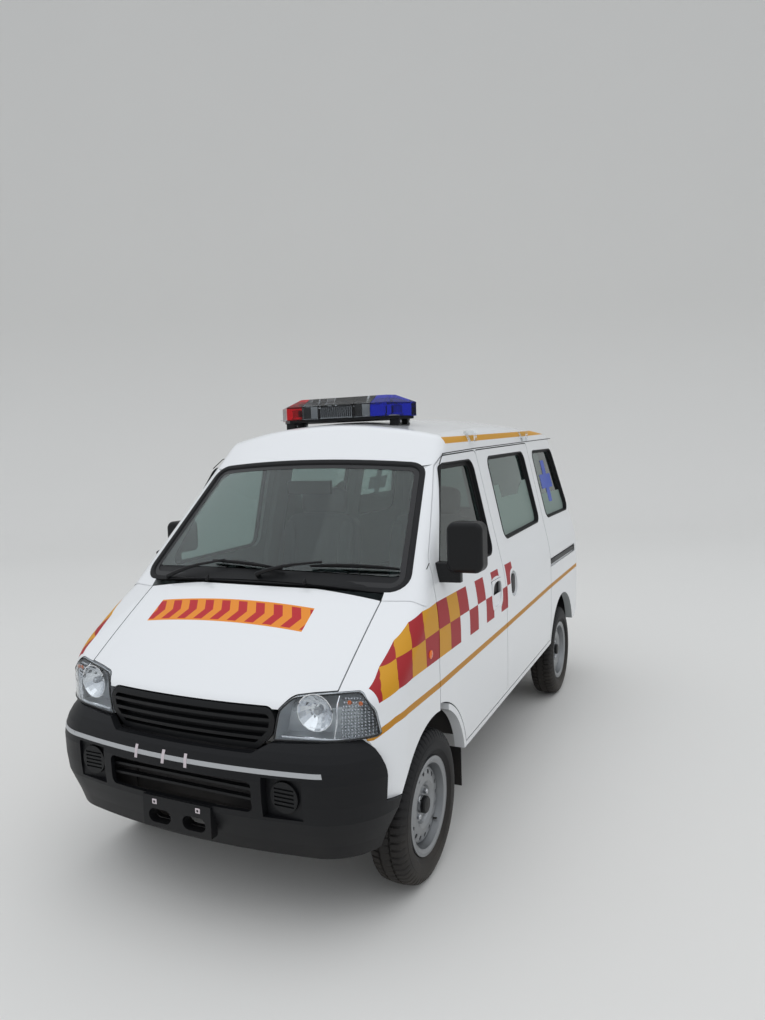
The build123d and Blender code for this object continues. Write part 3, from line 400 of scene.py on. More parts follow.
def check_masks(tree, y, z, outward):
    """The masks of the red and of the yellow checks."""
    column = calc(tree, "FLOOR", calc(tree, "DIVIDE", calc(tree, "SUBTRACT", y, DOOR_FIRST), DOOR_PITCH))
    column = calc(tree, "MAXIMUM", column, 0.0)
    for bound in nose_bounds:
        column = calc(tree, "ADD", column, calc(tree, "GREATER_THAN", y, height_line(tree, z, bound)))
    row = calc(tree, "GREATER_THAN", calc(tree, "SUBTRACT", z, height_line(tree, y, wing_middle)), 0.0)
    odd = calc(tree, "MODULO", calc(tree, "ADD", column, row), 2.0)
    foot, top = height_line(tree, y, wing_foot), height_line(tree, y, wing_edge)
    checks = every(tree, between(tree, z, foot, top), between(tree, y, CHECK_START, CHECK_END),
                   calc(tree, "GREATER_THAN", outward, CHECKS_FROM),
                   *(outside_oval(tree, y, z, oval) for oval in recess_ovals))
    red = calc(tree, "MULTIPLY", checks, calc(tree, "SUBTRACT", 1.0, odd))
    yellow = every(tree, checks, odd, calc(tree, "LESS_THAN", column, YELLOW_COLUMNS))
    return red, yellow


print("ovals left bare", len(recess_ovals))

# %% [markdown]
# An amber stripe runs along the waist and a yellow band along the edge of the roof. Each covers what lies
# near enough to its middle line. The bonnet has an orange panel with red bars. A bar is shifted across by
# its distance from the panel's middle line, on both sides of it, so it bends there like an arrowhead.

# %% Masks of the stripe, the band and the panel
def stripe_mask(tree, y, z, outward):
    """The mask of the waist stripe."""
    away = calc(tree, "ABSOLUTE", calc(tree, "SUBTRACT", z, height_line(tree, y, stripe_line)))
    return every(tree, calc(tree, "LESS_THAN", away, STRIPE_HALF),
                 calc(tree, "GREATER_THAN", outward, STRIPE_FROM))


def roof_band_mask(tree, y, z, outward):
    """The mask of the roof band."""
    start, height, slope = ROOF_BAND
    centre = calc(tree, "MULTIPLY_ADD", calc(tree, "SUBTRACT", y, start), slope, height)
    away = calc(tree, "ABSOLUTE", calc(tree, "SUBTRACT", z, centre))
    return every(tree, calc(tree, "LESS_THAN", away, ROOF_BAND_HALF), calc(tree, "GREATER_THAN", y, start),
                 calc(tree, "GREATER_THAN", outward, ROOF_BAND_FROM))


def panel_masks(tree, x, y, z):
    """The masks of the bonnet's panel and of the bars on it."""
    (left, right), (near, far) = BONNET_PANEL
    panel = every(tree, between(tree, x, left, right), between(tree, y, near, far),
                  calc(tree, "GREATER_THAN", z, PANEL_FOOT))
    away = calc(tree, "ABSOLUTE", calc(tree, "SUBTRACT", y, (near + far) / 2))
    slant = calc(tree, "ADD", x, calc(tree, "MULTIPLY", away, BAR_SLANT))
    bars = calc(tree, "LESS_THAN", calc(tree, "FRACT", calc(tree, "DIVIDE", slant, BAR_PITCH)), 0.5)
    inside = between(tree, y, near + PANEL_RIM, far - PANEL_RIM)
    return panel, every(tree, panel, bars, inside)


print("bars across the panel", round((BONNET_PANEL[0][1] - BONNET_PANEL[0][0]) / BAR_PITCH, 1))

# %% [markdown]
# The group takes bare paint in, lays the films over it in turn and tells where any film lies, because
# film shines less than paint. The paint and the rest of the shader stay in the material.

# %% Livery group
def make_livery():
    """White paint in, painted and filmed surface out. Film is 1 where a film lies on the paint."""
    group, given, result = new_group("livery", [("Paint", "Color", (0.8, 0.8, 0.8, 1))],
                                     [("Colour", "Color"), ("Film", "Float")])
    x, y, z = put(group, "ShaderNodeSeparateXYZ", {0: object_place(group)}).outputs
    x = calc(group, "SUBTRACT", x, MIDDLE_X)
    outward = calc(group, "ABSOLUTE", x)
    red, yellow = check_masks(group, y, z, outward)
    stripe = stripe_mask(group, y, z, outward)
    band = roof_band_mask(group, y, z, outward)
    panel, bars = panel_masks(group, x, y, z)
    colour = given.outputs["Paint"]
    for mask, shade in ((red, "red"), (yellow, "yellow"), (stripe, "amber"), (band, "yellow"),
                        (panel, "panel"), (bars, "mark")):
        colour = mix_colour(group, mask, colour, film[shade])
    covered = red
    for mask in (yellow, stripe, band, panel):
        covered = calc(group, "MAXIMUM", covered, mask)
    group.links.new(colour, result.inputs["Colour"])
    group.links.new(covered, result.inputs["Film"])
    return group


livery = make_livery()
print("livery nodes", len(livery.nodes))

# %% [markdown]
# Car paint is a matt colour under a clear, glossy coat. The coat is the Principled BSDF's own; the colour
# under it comes from the livery and takes a little dust near the sills. Film is less shiny than the
# paint. A panel's inner face looks towards a point in the middle of the cab: it gets neither film nor
# gloss, but the colour of the lining.

# %% White paint
CAB_MIDDLE = (MIDDLE_X, 0.0, 0.95)
WHITE, LINING = rgb(232, 234, 236), rgb(172, 176, 176)
# How rough the base is, how much rougher film and dust make it, and how strong the coat over it is
PAINT_ROUGH, FILM_ROUGHER, DUST_ROUGHER, COAT = 0.28, 0.2, 0.8, 0.85
# A face counts as an inner one where its direction leans this far towards the cab's middle
INNER_LEAN = -0.12


def make_white_paint():
    """Glossy white paint with the livery on its outer faces and lining on its inner ones."""
    material, tree, shader = empty_material("white_paint")
    drift = use_group(tree, uneven_tone, Colour=WHITE, Scale=1.5, Amount=0.02)
    painted = use_group(tree, livery, Paint=drift.outputs["Colour"])
    dusty = use_group(tree, road_dust, Colour=painted.outputs["Colour"], Reach=0.5, Amount=0.35)
    normal = put(tree, "ShaderNodeNewGeometry").outputs["True Normal"]
    facing = put(tree, "ShaderNodeVectorTransform", {0: normal}, vector_type="NORMAL", convert_from="WORLD",
                 convert_to="OBJECT")
    away = put(tree, "ShaderNodeVectorMath", {0: object_place(tree), 1: CAB_MIDDLE}, operation="SUBTRACT")
    turned = put(tree, "ShaderNodeVectorMath", {0: away.outputs[0]}, operation="NORMALIZE")
    outwards = put(tree, "ShaderNodeVectorMath", {0: facing.outputs[0], 1: turned.outputs[0]},
                   operation="DOT_PRODUCT").outputs["Value"]
    inner = calc(tree, "LESS_THAN", outwards, INNER_LEAN)
    shown = mix_colour(tree, inner, dusty.outputs["Colour"], LINING)
    tree.links.new(shown, shader.inputs["Base Color"])
    covered = calc(tree, "MAXIMUM", painted.outputs["Film"], inner)
    rough = calc(tree, "MULTIPLY_ADD", covered, FILM_ROUGHER, PAINT_ROUGH)
    rough = calc(tree, "MULTIPLY_ADD", dusty.outputs["Film"], DUST_ROUGHER, rough)
    tree.links.new(rough, shader.inputs["Roughness"])
    peel = use_group(tree, fine_grain, Scale=120.0, Depth=0.00015, Strength=0.06)
    tree.links.new(peel.outputs["Normal"], shader.inputs["Normal"])
    coat = calc(tree, "MULTIPLY_ADD", calc(tree, "MAXIMUM", dusty.outputs["Film"], covered), -COAT, COAT)
    tree.links.new(coat, shader.inputs["Coat Weight"])
    shader.inputs["Coat Roughness"].default_value = 0.04
    return material


finish["paint"] = make_white_paint()
print("white paint ready")

# %% [markdown]
# Glass is a clear solid that takes a little of the light. The windscreen is nearly clear. The side panes are
# tinted dark teal: partly the glass's own tint and partly painted shade that stands in for the dark cab
# behind them. Lamp lenses are clear plastic, and the coloured ones of the light bar take their colour right
# through. A Glass BSDF could do this, but with the Principled BSDF's transmission every finish has the same
# sockets.

# %% Clear materials
def make_clear(name, colour, roughness=0.01, ripple=(40.0, 0.0002, 0.02), **sockets):
    """A clear solid with a faint ripple in its surface."""
    material, tree, shader = empty_material(name)
    shader.inputs["Base Color"].default_value = colour
    shader.inputs["Roughness"].default_value = roughness
    shader.inputs["Transmission Weight"].default_value = 1.0
    for label, value in sockets.items():
        shader.inputs[label.replace("_", " ")].default_value = value
    wave = use_group(tree, fine_grain, Scale=ripple[0], Depth=ripple[1], Strength=ripple[2])
    tree.links.new(wave.outputs["Normal"], shader.inputs["Normal"])
    return material


finish["screen_glass"] = make_clear("windscreen_glass", rgb(206, 222, 218), IOR=1.5)
# The side panes' dark teal is partly the glass's tint and partly painted shade for the dark cab behind them
finish["tint_and_shade_glass"] = make_clear("tint_and_shade_glass", rgb(136, 154, 150), IOR=1.52)
finish["lamp_lens"] = make_clear("lamp_lens", rgb(240, 243, 245), roughness=0.02, IOR=1.3)
finish["bar_red"] = make_clear("beacon_red", rgb(214, 16, 28), roughness=0.08, IOR=1.4,
                               Specular_IOR_Level=0.6)
finish["bar_clear"] = make_clear("beacon_clear", rgb(196, 202, 206), roughness=0.06, IOR=1.4)
finish["bar_blue"] = make_clear("beacon_blue", rgb(24, 40, 190), roughness=0.08, IOR=1.4,
                                Specular_IOR_Level=0.6)
finish["frost"] = make_finish("frosted_film", rgb(150, 170, 162), 0.55, grain=(300.0, 0.0002, 0.2),
                              Transmission_Weight=0.35)
finish["blue_film"] = make_finish("blue_film", rgb(14, 66, 178), 0.35, grain=(200.0, 0.0001, 0.1))
finish["tape"] = make_finish("silver_tape", rgb(176, 178, 180), 0.45, grain=(600.0, 0.0004, 0.5))
finish["tag"] = make_finish("paper_tag", rgb(206, 196, 200), 0.7, grain=(400.0, 0.0002, 0.3))
print("clear materials ready")

# %% [markdown]
# Each imported part names its material slot, and a table turns the slot into a finish. A few parts need more
# than their slot says: the two glasses differ, the wheel houses are dark, partly as underseal and partly as
# painted shade inside the arches, and the bumper has its own grained plastic.

# %% Finishes of the imported parts
slot_finish = {
    "white_paint": "paint", "black_plastic": "trim", "dash_plastic": "dash", "clear_glass": "tint_and_shade_glass",
    "lamp_chrome": "chrome", "red_lens": "tail_red", "clear_lens": "bar_clear", "blue_lens": "bar_blue",
    "tyre": "rubber", "rim_steel": "steel", "dark_steel": "chassis", "seat_fabric": "lining",
    "frame_steel": "tube",
}
own_finish = {
    "windscreen": "screen_glass", "headlamp_lenses": "lamp_lens", "light_bar_red": "bar_red",
    # The wheel houses' dark finish is partly underseal and partly painted shade inside the arches
    "front_bumper": "bumper", "rear_bumper": "bumper", "wheel_houses": "chassis", "floor_pan": "chassis",
    "bulkhead_and_pillars": "lining", "mud_flaps": "rubber", "roof_side_lamps": "lamp_lens",
    "headlamp_housings": "lamp_grey",
}
for row in frame["record"]["subparts"]:
    look = own_finish.get(row["node"], slot_finish[row["material_slot"]])
    mesh = nodes[row["node"]].data
    mesh.materials.clear()
    mesh.materials.append(finish[look])
print("finished parts", len(nodes))

# %% [markdown]
# Small pieces are built from a few kinds of shape: blocks, turned profiles and bars along a path. They
# could be modelled by hand in Edit Mode, but a shape that is only a list of points and a list of faces
# can be turned, mirrored and repeated by the script.

# %% Shape helpers
def block(low, high, bevel=0.0):
    """A box between two corners, with rounded edges if it has a bevel."""
    form = bmesh.new()
    bmesh.ops.create_cube(form, size=1.0)
    for corner in form.verts:
        corner.co = Vector([a + (b - a) * (c + 0.5) for a, b, c in zip(low, high, corner.co)])
    if bevel:
        bmesh.ops.bevel(form, geom=form.edges[:], offset=bevel, segments=3, affect="EDGES", profile=0.5)
    form.verts.index_update()
    points = [corner.co.copy() for corner in form.verts]
    faces = [[corner.index for corner in face.verts] for face in form.faces]
    form.free()
    return points, faces


def skin(rings, closed=True, caps=False):
    """Faces between rings of as many points each."""
    count = len(rings[0])
    points = [point for ring in rings for point in ring]
    faces = []
    for ring in range(len(rings) - 1):
        for step in range(count if closed else count - 1):
            a, b = ring * count + step, ring * count + (step + 1) % count
            faces.append([a, b, b + count, a + count])
    if caps:
        faces.append(list(range(count))[::-1])
        faces.append([len(points) - count + step for step in range(count)])
    return points, faces


def lathe(profile, centre, axis=(1, 0, 0), steps=48):
    """A profile of (along, radius) turned about an axis."""
    axis = Vector(axis).normalized()
    first = axis.orthogonal().normalized()
    second = axis.cross(first)
    rings = []
    for along, radius in profile:
        ring = []
        for step in range(steps):
            angle = 2 * math.pi * step / steps
            spoke = first * math.cos(angle) + second * math.sin(angle)
            ring.append(Vector(centre) + axis * along + spoke * radius)
        rings.append(ring)
    return skin(rings, caps=True)


def rod(path, radius, sides=12):
    """A round bar along a path; the radius is one value or one for each point."""
    path = [Vector(point) for point in path]
    radii = radius if isinstance(radius, (list, tuple)) else [radius] * len(path)
    rings, side = [], None
    for index, point in enumerate(path):
        ahead = path[min(index + 1, len(path) - 1)] - path[max(index - 1, 0)]
        ahead.normalize()
        side = ahead.orthogonal() if side is None else side - ahead * side.dot(ahead)
        side.normalize()
        other = ahead.cross(side)
        ring = []
        for step in range(sides):
            angle = 2 * math.pi * step / sides
            ring.append(point + (side * math.cos(angle) + other * math.sin(angle)) * radii[index])
        rings.append(ring)
    return skin(rings, caps=True)


def mirrored(shape):
    """A shape on the other side of the vehicle."""
    points, faces = shape
    return [Vector((-p[0], p[1], p[2])) for p in points], [face[::-1] for face in faces]


print("a plain block has", len(block((0, 0, 0), (1, 1, 1))[0]), "points")

# %% [markdown]
# `solid` joins shapes into one mesh and moves it over to the middle plane. Its faces are turned outwards,
# and it is shaded smooth with sharp edges where it bends by more than an angle. A Smooth by Angle
# modifier would do the same, but edges marked in the mesh also reach the export. Then the piece gets its
# finish and rides on a body of the frame.

# %% Piece maker
def solid(name, shapes, look, body="body", sharp=35):
    """Shapes joined into one piece that rides on a body."""
    points, faces = [], []
    for shape_points, shape_faces in shapes:
        start = len(points)
        points += [(point[0] + MIDDLE_X, point[1], point[2]) for point in shape_points]
        faces += [[start + index for index in face] for face in shape_faces]
    mesh = bpy.data.meshes.new(name)
    mesh.from_pydata(points, [], faces)
    form = bmesh.new()
    form.from_mesh(mesh)
    bmesh.ops.recalc_face_normals(form, faces=form.faces[:])
    form.to_mesh(mesh)
    form.free()
    mesh.shade_smooth()
    mesh.set_sharp_from_angle(angle=math.radians(sharp))
    mesh.materials.append(finish[look])
    piece = bpy.data.objects.new(name, mesh)
    scene.collection.objects.link(piece)
    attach(piece, body)
    return piece


# %% [markdown]
# Seals, films and lines lie on the body's curved faces. The sides are upright to the belt and then lean
# in; the windscreen is part of a cone about an upright line; the tail is round in plan and leans forward
# towards the roof. A function for each gives the point at a height above the surface, so that a strip can
# follow it. Rays could find these points, as they do for the bumper further on, but a formula also works
# where a panel has its window opening.

# %% Surfaces of the body
HALF_WIDTH, BELT, BELT_RADIUS, LEAN = 0.7375, 0.9, 0.8, math.radians(12.5)
# Below this height the side tucks in, by so much at the sill
TUCK_Z, TUCK_HEIGHT, TUCK_IN = 0.76, 0.46, 0.0115
SCREEN_ORIGIN = Vector((0.0, -1.276, 1.145))
SCREEN_UP, SCREEN_OUT = Vector((0, 1, 1)).normalized(), Vector((0, -1, 1)).normalized()
# The windscreen's cone: where its axis stands and its radius at the ground, which shrinks as fast as it rises
PLAN_CENTRE, SCREEN_REACH = 1.0, 3.421
SEARCH_REACH, HALVINGS = 0.4, 30
# The tail: the centre of its plan, its place low down, and the height, radius and angle of its forward turn
TAIL_CENTRE, TAIL_Y, TAIL_TURN, TAIL_RADIUS, TAIL_LEAN = -1.2, 1.775, 0.96, 0.6, math.radians(17)


def on_side(y, z, height=0.0, side=1):
    """A point on the body's side, or the height out from it."""
    rise = z - BELT
    angle = math.asin(min(max(rise, 0.0) / BELT_RADIUS, math.sin(LEAN)))
    x = HALF_WIDTH - BELT_RADIUS * (1 - math.cos(angle))
    if rise > BELT_RADIUS * math.sin(LEAN):
        x -= (rise - BELT_RADIUS * math.sin(LEAN)) * math.tan(LEAN)
    if z < TUCK_Z:
        x -= TUCK_IN * ((TUCK_Z - z) / TUCK_HEIGHT) ** 2
    return Vector((side * (x + height * math.cos(angle)), y, z + height * math.sin(angle)))


def on_screen(u, v, height=0.0):
    """A point on the windscreen, u across it and v up it, found by halving."""
    flat = SCREEN_ORIGIN + Vector((u, 0, 0)) + SCREEN_UP * v
    low, high = -SEARCH_REACH, SEARCH_REACH
    for _ in range(HALVINGS):
        middle = (low + high) / 2
        point = flat + SCREEN_OUT * middle
        if math.hypot(point.x, PLAN_CENTRE - point.y) < SCREEN_REACH - point.z:
            low = middle
        else:
            high = middle
    return point + SCREEN_OUT * height


def on_tail(x, z, height=0.0):
    """A point on the tail, or the height out from it."""
    rise = max(z - TAIL_TURN, 0.0)
    angle = math.asin(min(rise / TAIL_RADIUS, math.sin(TAIL_LEAN)))
    straight = max(rise - TAIL_RADIUS * math.sin(TAIL_LEAN), 0)
    y = TAIL_Y - TAIL_RADIUS * (1 - math.cos(angle)) - straight * math.tan(TAIL_LEAN)
    reach = y - TAIL_CENTRE + height
    return Vector((x, TAIL_CENTRE + math.sqrt(reach**2 - x**2), z))


print("side at the belt", tuple(round(value, 4) for value in on_side(0.0, BELT)))

# %% [markdown]
# A seal or a gasket follows the outline of its opening. `rounded` draws an outline from its corners and
# their radii and tells at each point which way is out. `strip` carries a section round it. A curve object
# could be drawn for each window instead, but four corners and a radius are easier to check against the
# real one.

# %% Outlines and strips
def rounded(corners, radii, steps=7, spacing=0.06):
    """Points round a polygon with rounded corners, each with its outward direction."""
    corners = [Vector(corner) for corner in corners]
    radii = radii if isinstance(radii, (list, tuple)) else [radii] * len(corners)
    area = sum(a.x * b.y - b.x * a.y for a, b in zip(corners, corners[1:] + corners[:1]))
    turn = 1 if area > 0 else -1
    outline = []
    for index, corner in enumerate(corners):
        back = (corners[index - 1] - corner).normalized()
        ahead = (corners[(index + 1) % len(corners)] - corner).normalized()
        half = math.acos(max(-1, min(1, back.dot(ahead)))) / 2
        middle = corner + (back + ahead).normalized() * radii[index] / math.sin(half)
        start = corner + back * radii[index] / math.tan(half) - middle
        end = corner + ahead * radii[index] / math.tan(half) - middle
        sweep = start.angle_signed(end)
        for step in range(steps + 1):
            angle = -sweep * step / steps
            spoke = Vector((start.x * math.cos(angle) - start.y * math.sin(angle),
                            start.x * math.sin(angle) + start.y * math.cos(angle)))
            outward = spoke.normalized()
            if start.cross(end) * turn < 0:
                outward = -outward
            outline.append((middle + spoke, outward))
    full = []
    for index, (point, outward) in enumerate(outline):
        full.append((point, outward))
        following, other = outline[(index + 1) % len(outline)]
        gaps = int((following - point).length / spacing)
        for step in range(1, gaps):
            share = step / gaps
            full.append((point.lerp(following, share), outward.lerp(other, share).normalized()))
    return full


def strip(outline, section, place):
    """A closed strip along an outline; `place` puts its section's (outward, height) points on a surface."""
    rings = []
    for outset, height in [*section, section[0]]:
        rings.append([place(*(point + outward * outset), height) for point, outward in outline])
    return skin(rings)


print("points round a square", len(rounded([(0, 0), (1, 0), (1, 1), (0, 1)], 0.1)))

# %% [markdown]
# Rubber closes the gap between each pane and its opening. A seal's section is drawn once, as points that
# lie a little outside or inside the opening's edge and above or below the skin, and `strip` carries it
# round the window. The side panes lie 22 mm deep, so their seal also covers the side of the opening. A
# curve with a bevel could follow the window as well, but its section twists where the surface bends.

# %% Window seals
DOOR_WINDOW = rounded([(-1.034, 1.130), (-0.726, 1.588), (-0.293, 1.597), (-0.292, 1.141)],
                      [0.040, 0.060, 0.055, 0.055])
SLIDE_WINDOW = rounded([(-0.060, 1.178), (-0.057, 1.603), (0.676, 1.618), (0.700, 1.197)], 0.055)
QUARTER_WINDOW = rounded([(0.893, 1.197), (0.884, 1.618), (1.416, 1.624), (1.545, 1.200)], 0.055)
TAIL_WINDOW = rounded([(-0.560, 1.175), (0.560, 1.175), (0.478, 1.640), (-0.478, 1.640)], 0.07)
SCREEN_FOOT, SCREEN_HEAD = 0.030, 0.682
FOOT_HALF, HEAD_HALF = 0.641, 0.539
FOOT_BOW, HEAD_BOW = 0.042, 0.022
# At the middle of its foot the windscreen's seal is sunk and starts this far up, clear of the opened bonnet
SEAL_SUNK, SEAL_CLEAR, SEAL_FADE = 0.008, 0.004, 8
SCREEN_WINDOW = rounded([(-FOOT_HALF, SCREEN_FOOT), (FOOT_HALF, SCREEN_FOOT), (HEAD_HALF, SCREEN_HEAD),
                         (-HEAD_HALF, SCREEN_HEAD)], 0.066)


def side_place(side):
    """The function that puts a window's points on one side."""
    return lambda y, z, height: on_side(y, z, height, side)


def screen_place(u, v, height):
    """A point on the windscreen, whose foot and head bow downwards in the middle."""
    share = (v - SCREEN_FOOT) / (SCREEN_HEAD - SCREEN_FOOT)
    bow = FOOT_BOW + (HEAD_BOW - FOOT_BOW) * share
    half = FOOT_HALF + (HEAD_HALF - FOOT_HALF) * share
    middle = 1 - (u / half) ** 2
    sunk = SEAL_SUNK * max(0.0, 1 - SEAL_FADE * share) * max(0.0, middle)
    return on_screen(u, max(v - bow * middle, SEAL_CLEAR), height - sunk)


def deep_seal(band):
    """The section of a side window's seal, with a band of black on the pane."""
    return ((0.004, -0.001), (0.003, 0.0015), (-0.001, 0.003), (-0.0045, 0.0015), (-0.0065, -0.017),
            (-band, -0.0195), (-band - 0.0015, -0.0235), (-0.001, -0.0235), (-0.0005, -0.004))


flat_seal = ((0.004, -0.001), (0.003, 0.0015), (-0.001, 0.003), (-0.006, 0.0015), (-0.016, -0.004),
             (-0.018, -0.0075), (-0.001, -0.0075), (-0.0005, -0.004))
screen_seal = ((0.013, -0.001), (0.010, 0.0025), (0.0, 0.004), (-0.009, 0.002), (-0.014, -0.004),
               (-0.014, -0.0075), (-0.001, -0.0075), (-0.0005, -0.004))
for side, name in ((1, "left"), (-1, "right")):
    place = side_place(side)
    solid(f"front_door_seal_{name}", [strip(DOOR_WINDOW, deep_seal(0.021), place)], "rubber",
          body=f"front_door_{name}")
    solid(f"side_window_seals_{name}", [strip(window, deep_seal(0.013), place)
                                        for window in (SLIDE_WINDOW, QUARTER_WINDOW)], "rubber")
solid("tailgate_seal", [strip(TAIL_WINDOW, flat_seal, on_tail)], "rubber", body="tailgate")
solid("windscreen_seal", [strip(SCREEN_WINDOW, screen_seal, screen_place)], "rubber")
edge_band = ((-0.012, -0.0052), (-0.036, -0.0052), (-0.036, -0.0058), (-0.012, -0.0058))
solid("windscreen_edge", [strip(SCREEN_WINDOW, edge_band, screen_place)], "lamp_black")

# %% [markdown]
# Frosted film covers the lower half of the rear side windows, so that nobody looks in on the patient. On
# the sliding door its upper edge stands higher at both ends. The quarter window carries a plain blue
# cross. Film could be a mask in the glass's own material, but glass is clear right through and film is
# not, so each film is a thin plate on its pane.

# %% Films on the side windows
def rows_on_side(rows, height, thick, side):
    """A thin plate on the side between two edges, given as (z, low y, high y) from row to row."""
    points, faces = [], []
    for lift in (0, thick):
        for z, low, high in rows:
            points += [on_side(low, z, height + lift, side), on_side(high, z, height + lift, side)]
    count = 2 * len(rows)
    for row in range(len(rows) - 1):
        a = 2 * row
        faces += [[a, a + 1, a + 3, a + 2], [count + a, count + a + 2, count + a + 3, count + a + 1]]
        faces += [[a, a + 2, count + a + 2, count + a], [a + 1, count + a + 1, count + a + 3, a + 3]]
    faces += [[0, count, count + 1, 1], [count - 2, count - 1, 2 * count - 1, 2 * count - 2]]
    return points, faces


FILM_DEEP, CROSS_DEEP, FILM_THICK = -0.0215, -0.0205, 0.0006
# Each plate is a list of rows: height, front edge and rear edge
slide_rows = [(1.186, -0.025, 0.665), (1.25, -0.046, 0.682), (1.32, -0.046, 0.678), (1.385, -0.046, 0.674)]
slide_tabs = [[(1.385, -0.046, 0.115), (1.425, -0.046, 0.115), (1.455, 0.02, 0.115)],
              [(1.385, 0.445, 0.674), (1.42, 0.50, 0.672), (1.455, 0.60, 0.670)]]
quarter_rows = [(1.206, 0.93, 1.50), (1.25, 0.906, 1.512), (1.30, 0.905, 1.496), (1.345, 0.904, 1.481)]
cross_bars = [[(1.285, 1.140, 1.230), (1.385, 1.140, 1.230), (1.555, 1.140, 1.230)],
              [(1.375, 1.040, 1.139), (1.465, 1.040, 1.139)], [(1.375, 1.231, 1.330), (1.465, 1.231, 1.330)]]
for side, name in ((1, "left"), (-1, "right")):
    plates = [rows_on_side(rows, FILM_DEEP, FILM_THICK, side)
              for rows in (slide_rows, *slide_tabs, quarter_rows)]
    solid(f"frosted_film_{name}", plates, "frost")
    bars = [rows_on_side(rows, CROSS_DEEP, FILM_THICK, side) for rows in cross_bars]
    solid(f"blue_cross_{name}", bars, "blue_film")
print("films on both sides")

# %% [markdown]
# The wipers lie parked at the foot of the windscreen. Each has a bent arm, a bridge and a rubber blade.
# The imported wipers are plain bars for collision, so these stand in for them. A bar could be modelled
# straight and bent by a modifier; here each is a rod through points on the windscreen, because it then
# follows the glass at its true height.

# %% Wipers
wiper_lines = (
    # pivot, arm's end, blade's two ends, as (u, v) on the windscreen
    ((-0.480, 0.014), (-0.185, 0.084), (-0.259, 0.090), (0.108, 0.057)),
    ((0.001, 0.026), (0.279, 0.099), (0.227, 0.083), (0.590, 0.121)),
)
pivot_cap = [(-0.008, 0.010), (0.006, 0.010), (0.012, 0.009), (0.015, 0.005)]
# The arm's height over the glass and its radius, from the pivot to its end
ARM_LIFTS = (0.010, 0.020, 0.027, 0.028, 0.024, 0.020)
ARM_RADII = [0.009, 0.009, 0.0075, 0.006, 0.005, 0.005]
# The bridge that presses the blade down arches over it
BRIDGE_LIFT, BRIDGE_ARCH = 0.0105, 0.007
BRIDGE_RADII = [0.003, 0.004, 0.0045, 0.005, 0.0055, 0.005, 0.0045, 0.004, 0.003]
BLADE_LIFT, BLADE_RADIUS, BLADE_STEPS = 0.0045, 0.0038, 10
wiper_shapes, blade_shapes = [], []
for line in wiper_lines:
    pivot, arm_end, blade_start, blade_end = (Vector(point) for point in line)
    wiper_shapes.append(lathe(pivot_cap, on_screen(*pivot), SCREEN_OUT, 20))
    arm = [on_screen(*pivot.lerp(arm_end, step / (len(ARM_LIFTS) - 1)), lift)
           for step, lift in enumerate(ARM_LIFTS)]
    wiper_shapes.append(rod(arm, ARM_RADII))
    bridge = []
    for step in range(len(BRIDGE_RADII)):
        share = step / (len(BRIDGE_RADII) - 1)
        lift = BRIDGE_LIFT + BRIDGE_ARCH * math.sin(math.pi * share)
        bridge.append(on_screen(*blade_start.lerp(blade_end, share), lift))
    wiper_shapes.append(rod(bridge, BRIDGE_RADII, 8))
    blade = [on_screen(*blade_start.lerp(blade_end, step / BLADE_STEPS), BLADE_LIFT)
             for step in range(BLADE_STEPS + 1)]
    blade_shapes.append(rod(blade, BLADE_RADIUS, 8))
wipers = solid("wiper_arms", wiper_shapes, "trim")
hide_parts("wipers")
solid("wiper_blades", blade_shapes, "rubber")
print("wiper bars", len(wiper_shapes), "and blades", len(blade_shapes))

# %% [markdown]
# Two washer jets stand on the cowl below the glass. They are short tapered rods that bend towards it.

# %% Washer jets
JET_RADII = [0.009, 0.007, 0.004]
washers = []
for u, v in ((-0.240, -0.007), (0.232, 0.001)):
    path = [on_screen(u, v, 0.004), on_screen(u, v + 0.004, 0.012), on_screen(u, v + 0.016, 0.014)]
    washers.append(rod(path, JET_RADII))
solid("washer_jets", washers, "trim")
print("washer jets", len(washers))

# %% [markdown]
# A black line shows where panels meet: under the gutter over the doors, and down the pillar beside the
# windscreen. Under the gutter it is partly this seam and partly painted shadow cast by the gutter's lip. A
# groove could be cut into the panels, but the imported panels stay as they are, so a thin dark rod lies along
# each line.

# %% Gutter seal and painted shadow lines
gutter = [(-0.738, 1.588), (-0.668, 1.632), (-0.212, 1.649), (0.797, 1.677), (1.500, 1.696)]
pillar_foot = [(0.634, -1.156, 1.172), (0.681, -1.101, 1.191), (0.681, -1.075, 1.209)]
LINE_RADIUS, LINE_LIFT = 0.0022, 0.0002
lines = []
for side in (1, -1):
    # The dark rods under the gutter are partly the seam's seal and partly painted shadow of the gutter's lip
    lines.append(rod([on_side(y, z, LINE_LIFT, side) for y, z in gutter], LINE_RADIUS, 8))
    lines.append(rod([(side * x, y, z) for x, y, z in pillar_foot], LINE_RADIUS, 8))
solid("gutter_lines", lines, "rubber")
print("gutter points", len(gutter))

# %% [markdown]
# Wheel nuts, fins and slats repeat one small form. Copies could be made by a loop, but Geometry Nodes
# keep the rule in one tree with named inputs: how many, how far apart and of what. `ring_of` puts copies
# round a circle, each turned to face outwards, and `row_of` puts them along a line. Both trees end alike:
# the copies are made real, because an export drops instances, and get their material.

# %% Ring and row groups
def add_socket(group, label, kind, value=None, way="INPUT"):
    """A named socket of a geometry group; its identifier is the key that a modifier needs."""
    socket = group.interface.new_socket(label, in_out=way, socket_type="NodeSocket" + kind)
    if value is not None:
        socket.default_value = value
    return socket.identifier


def start_repeat(name, measure, kind, value):
    """An empty group that repeats a piece, with one measure of its own."""
    group = bpy.data.node_groups.new(name, "GeometryNodeTree")
    add_socket(group, "Geometry", "Geometry")
    keys = {"Piece": add_socket(group, "Piece", "Object"), "Count": add_socket(group, "Count", "Int", 4),
            measure: add_socket(group, measure, kind, value),
            "Material": add_socket(group, "Material", "Material")}
    add_socket(group, "Geometry", "Geometry", way="OUTPUT")
    return group, keys, group.nodes.new("NodeGroupInput"), group.nodes.new("NodeGroupOutput")


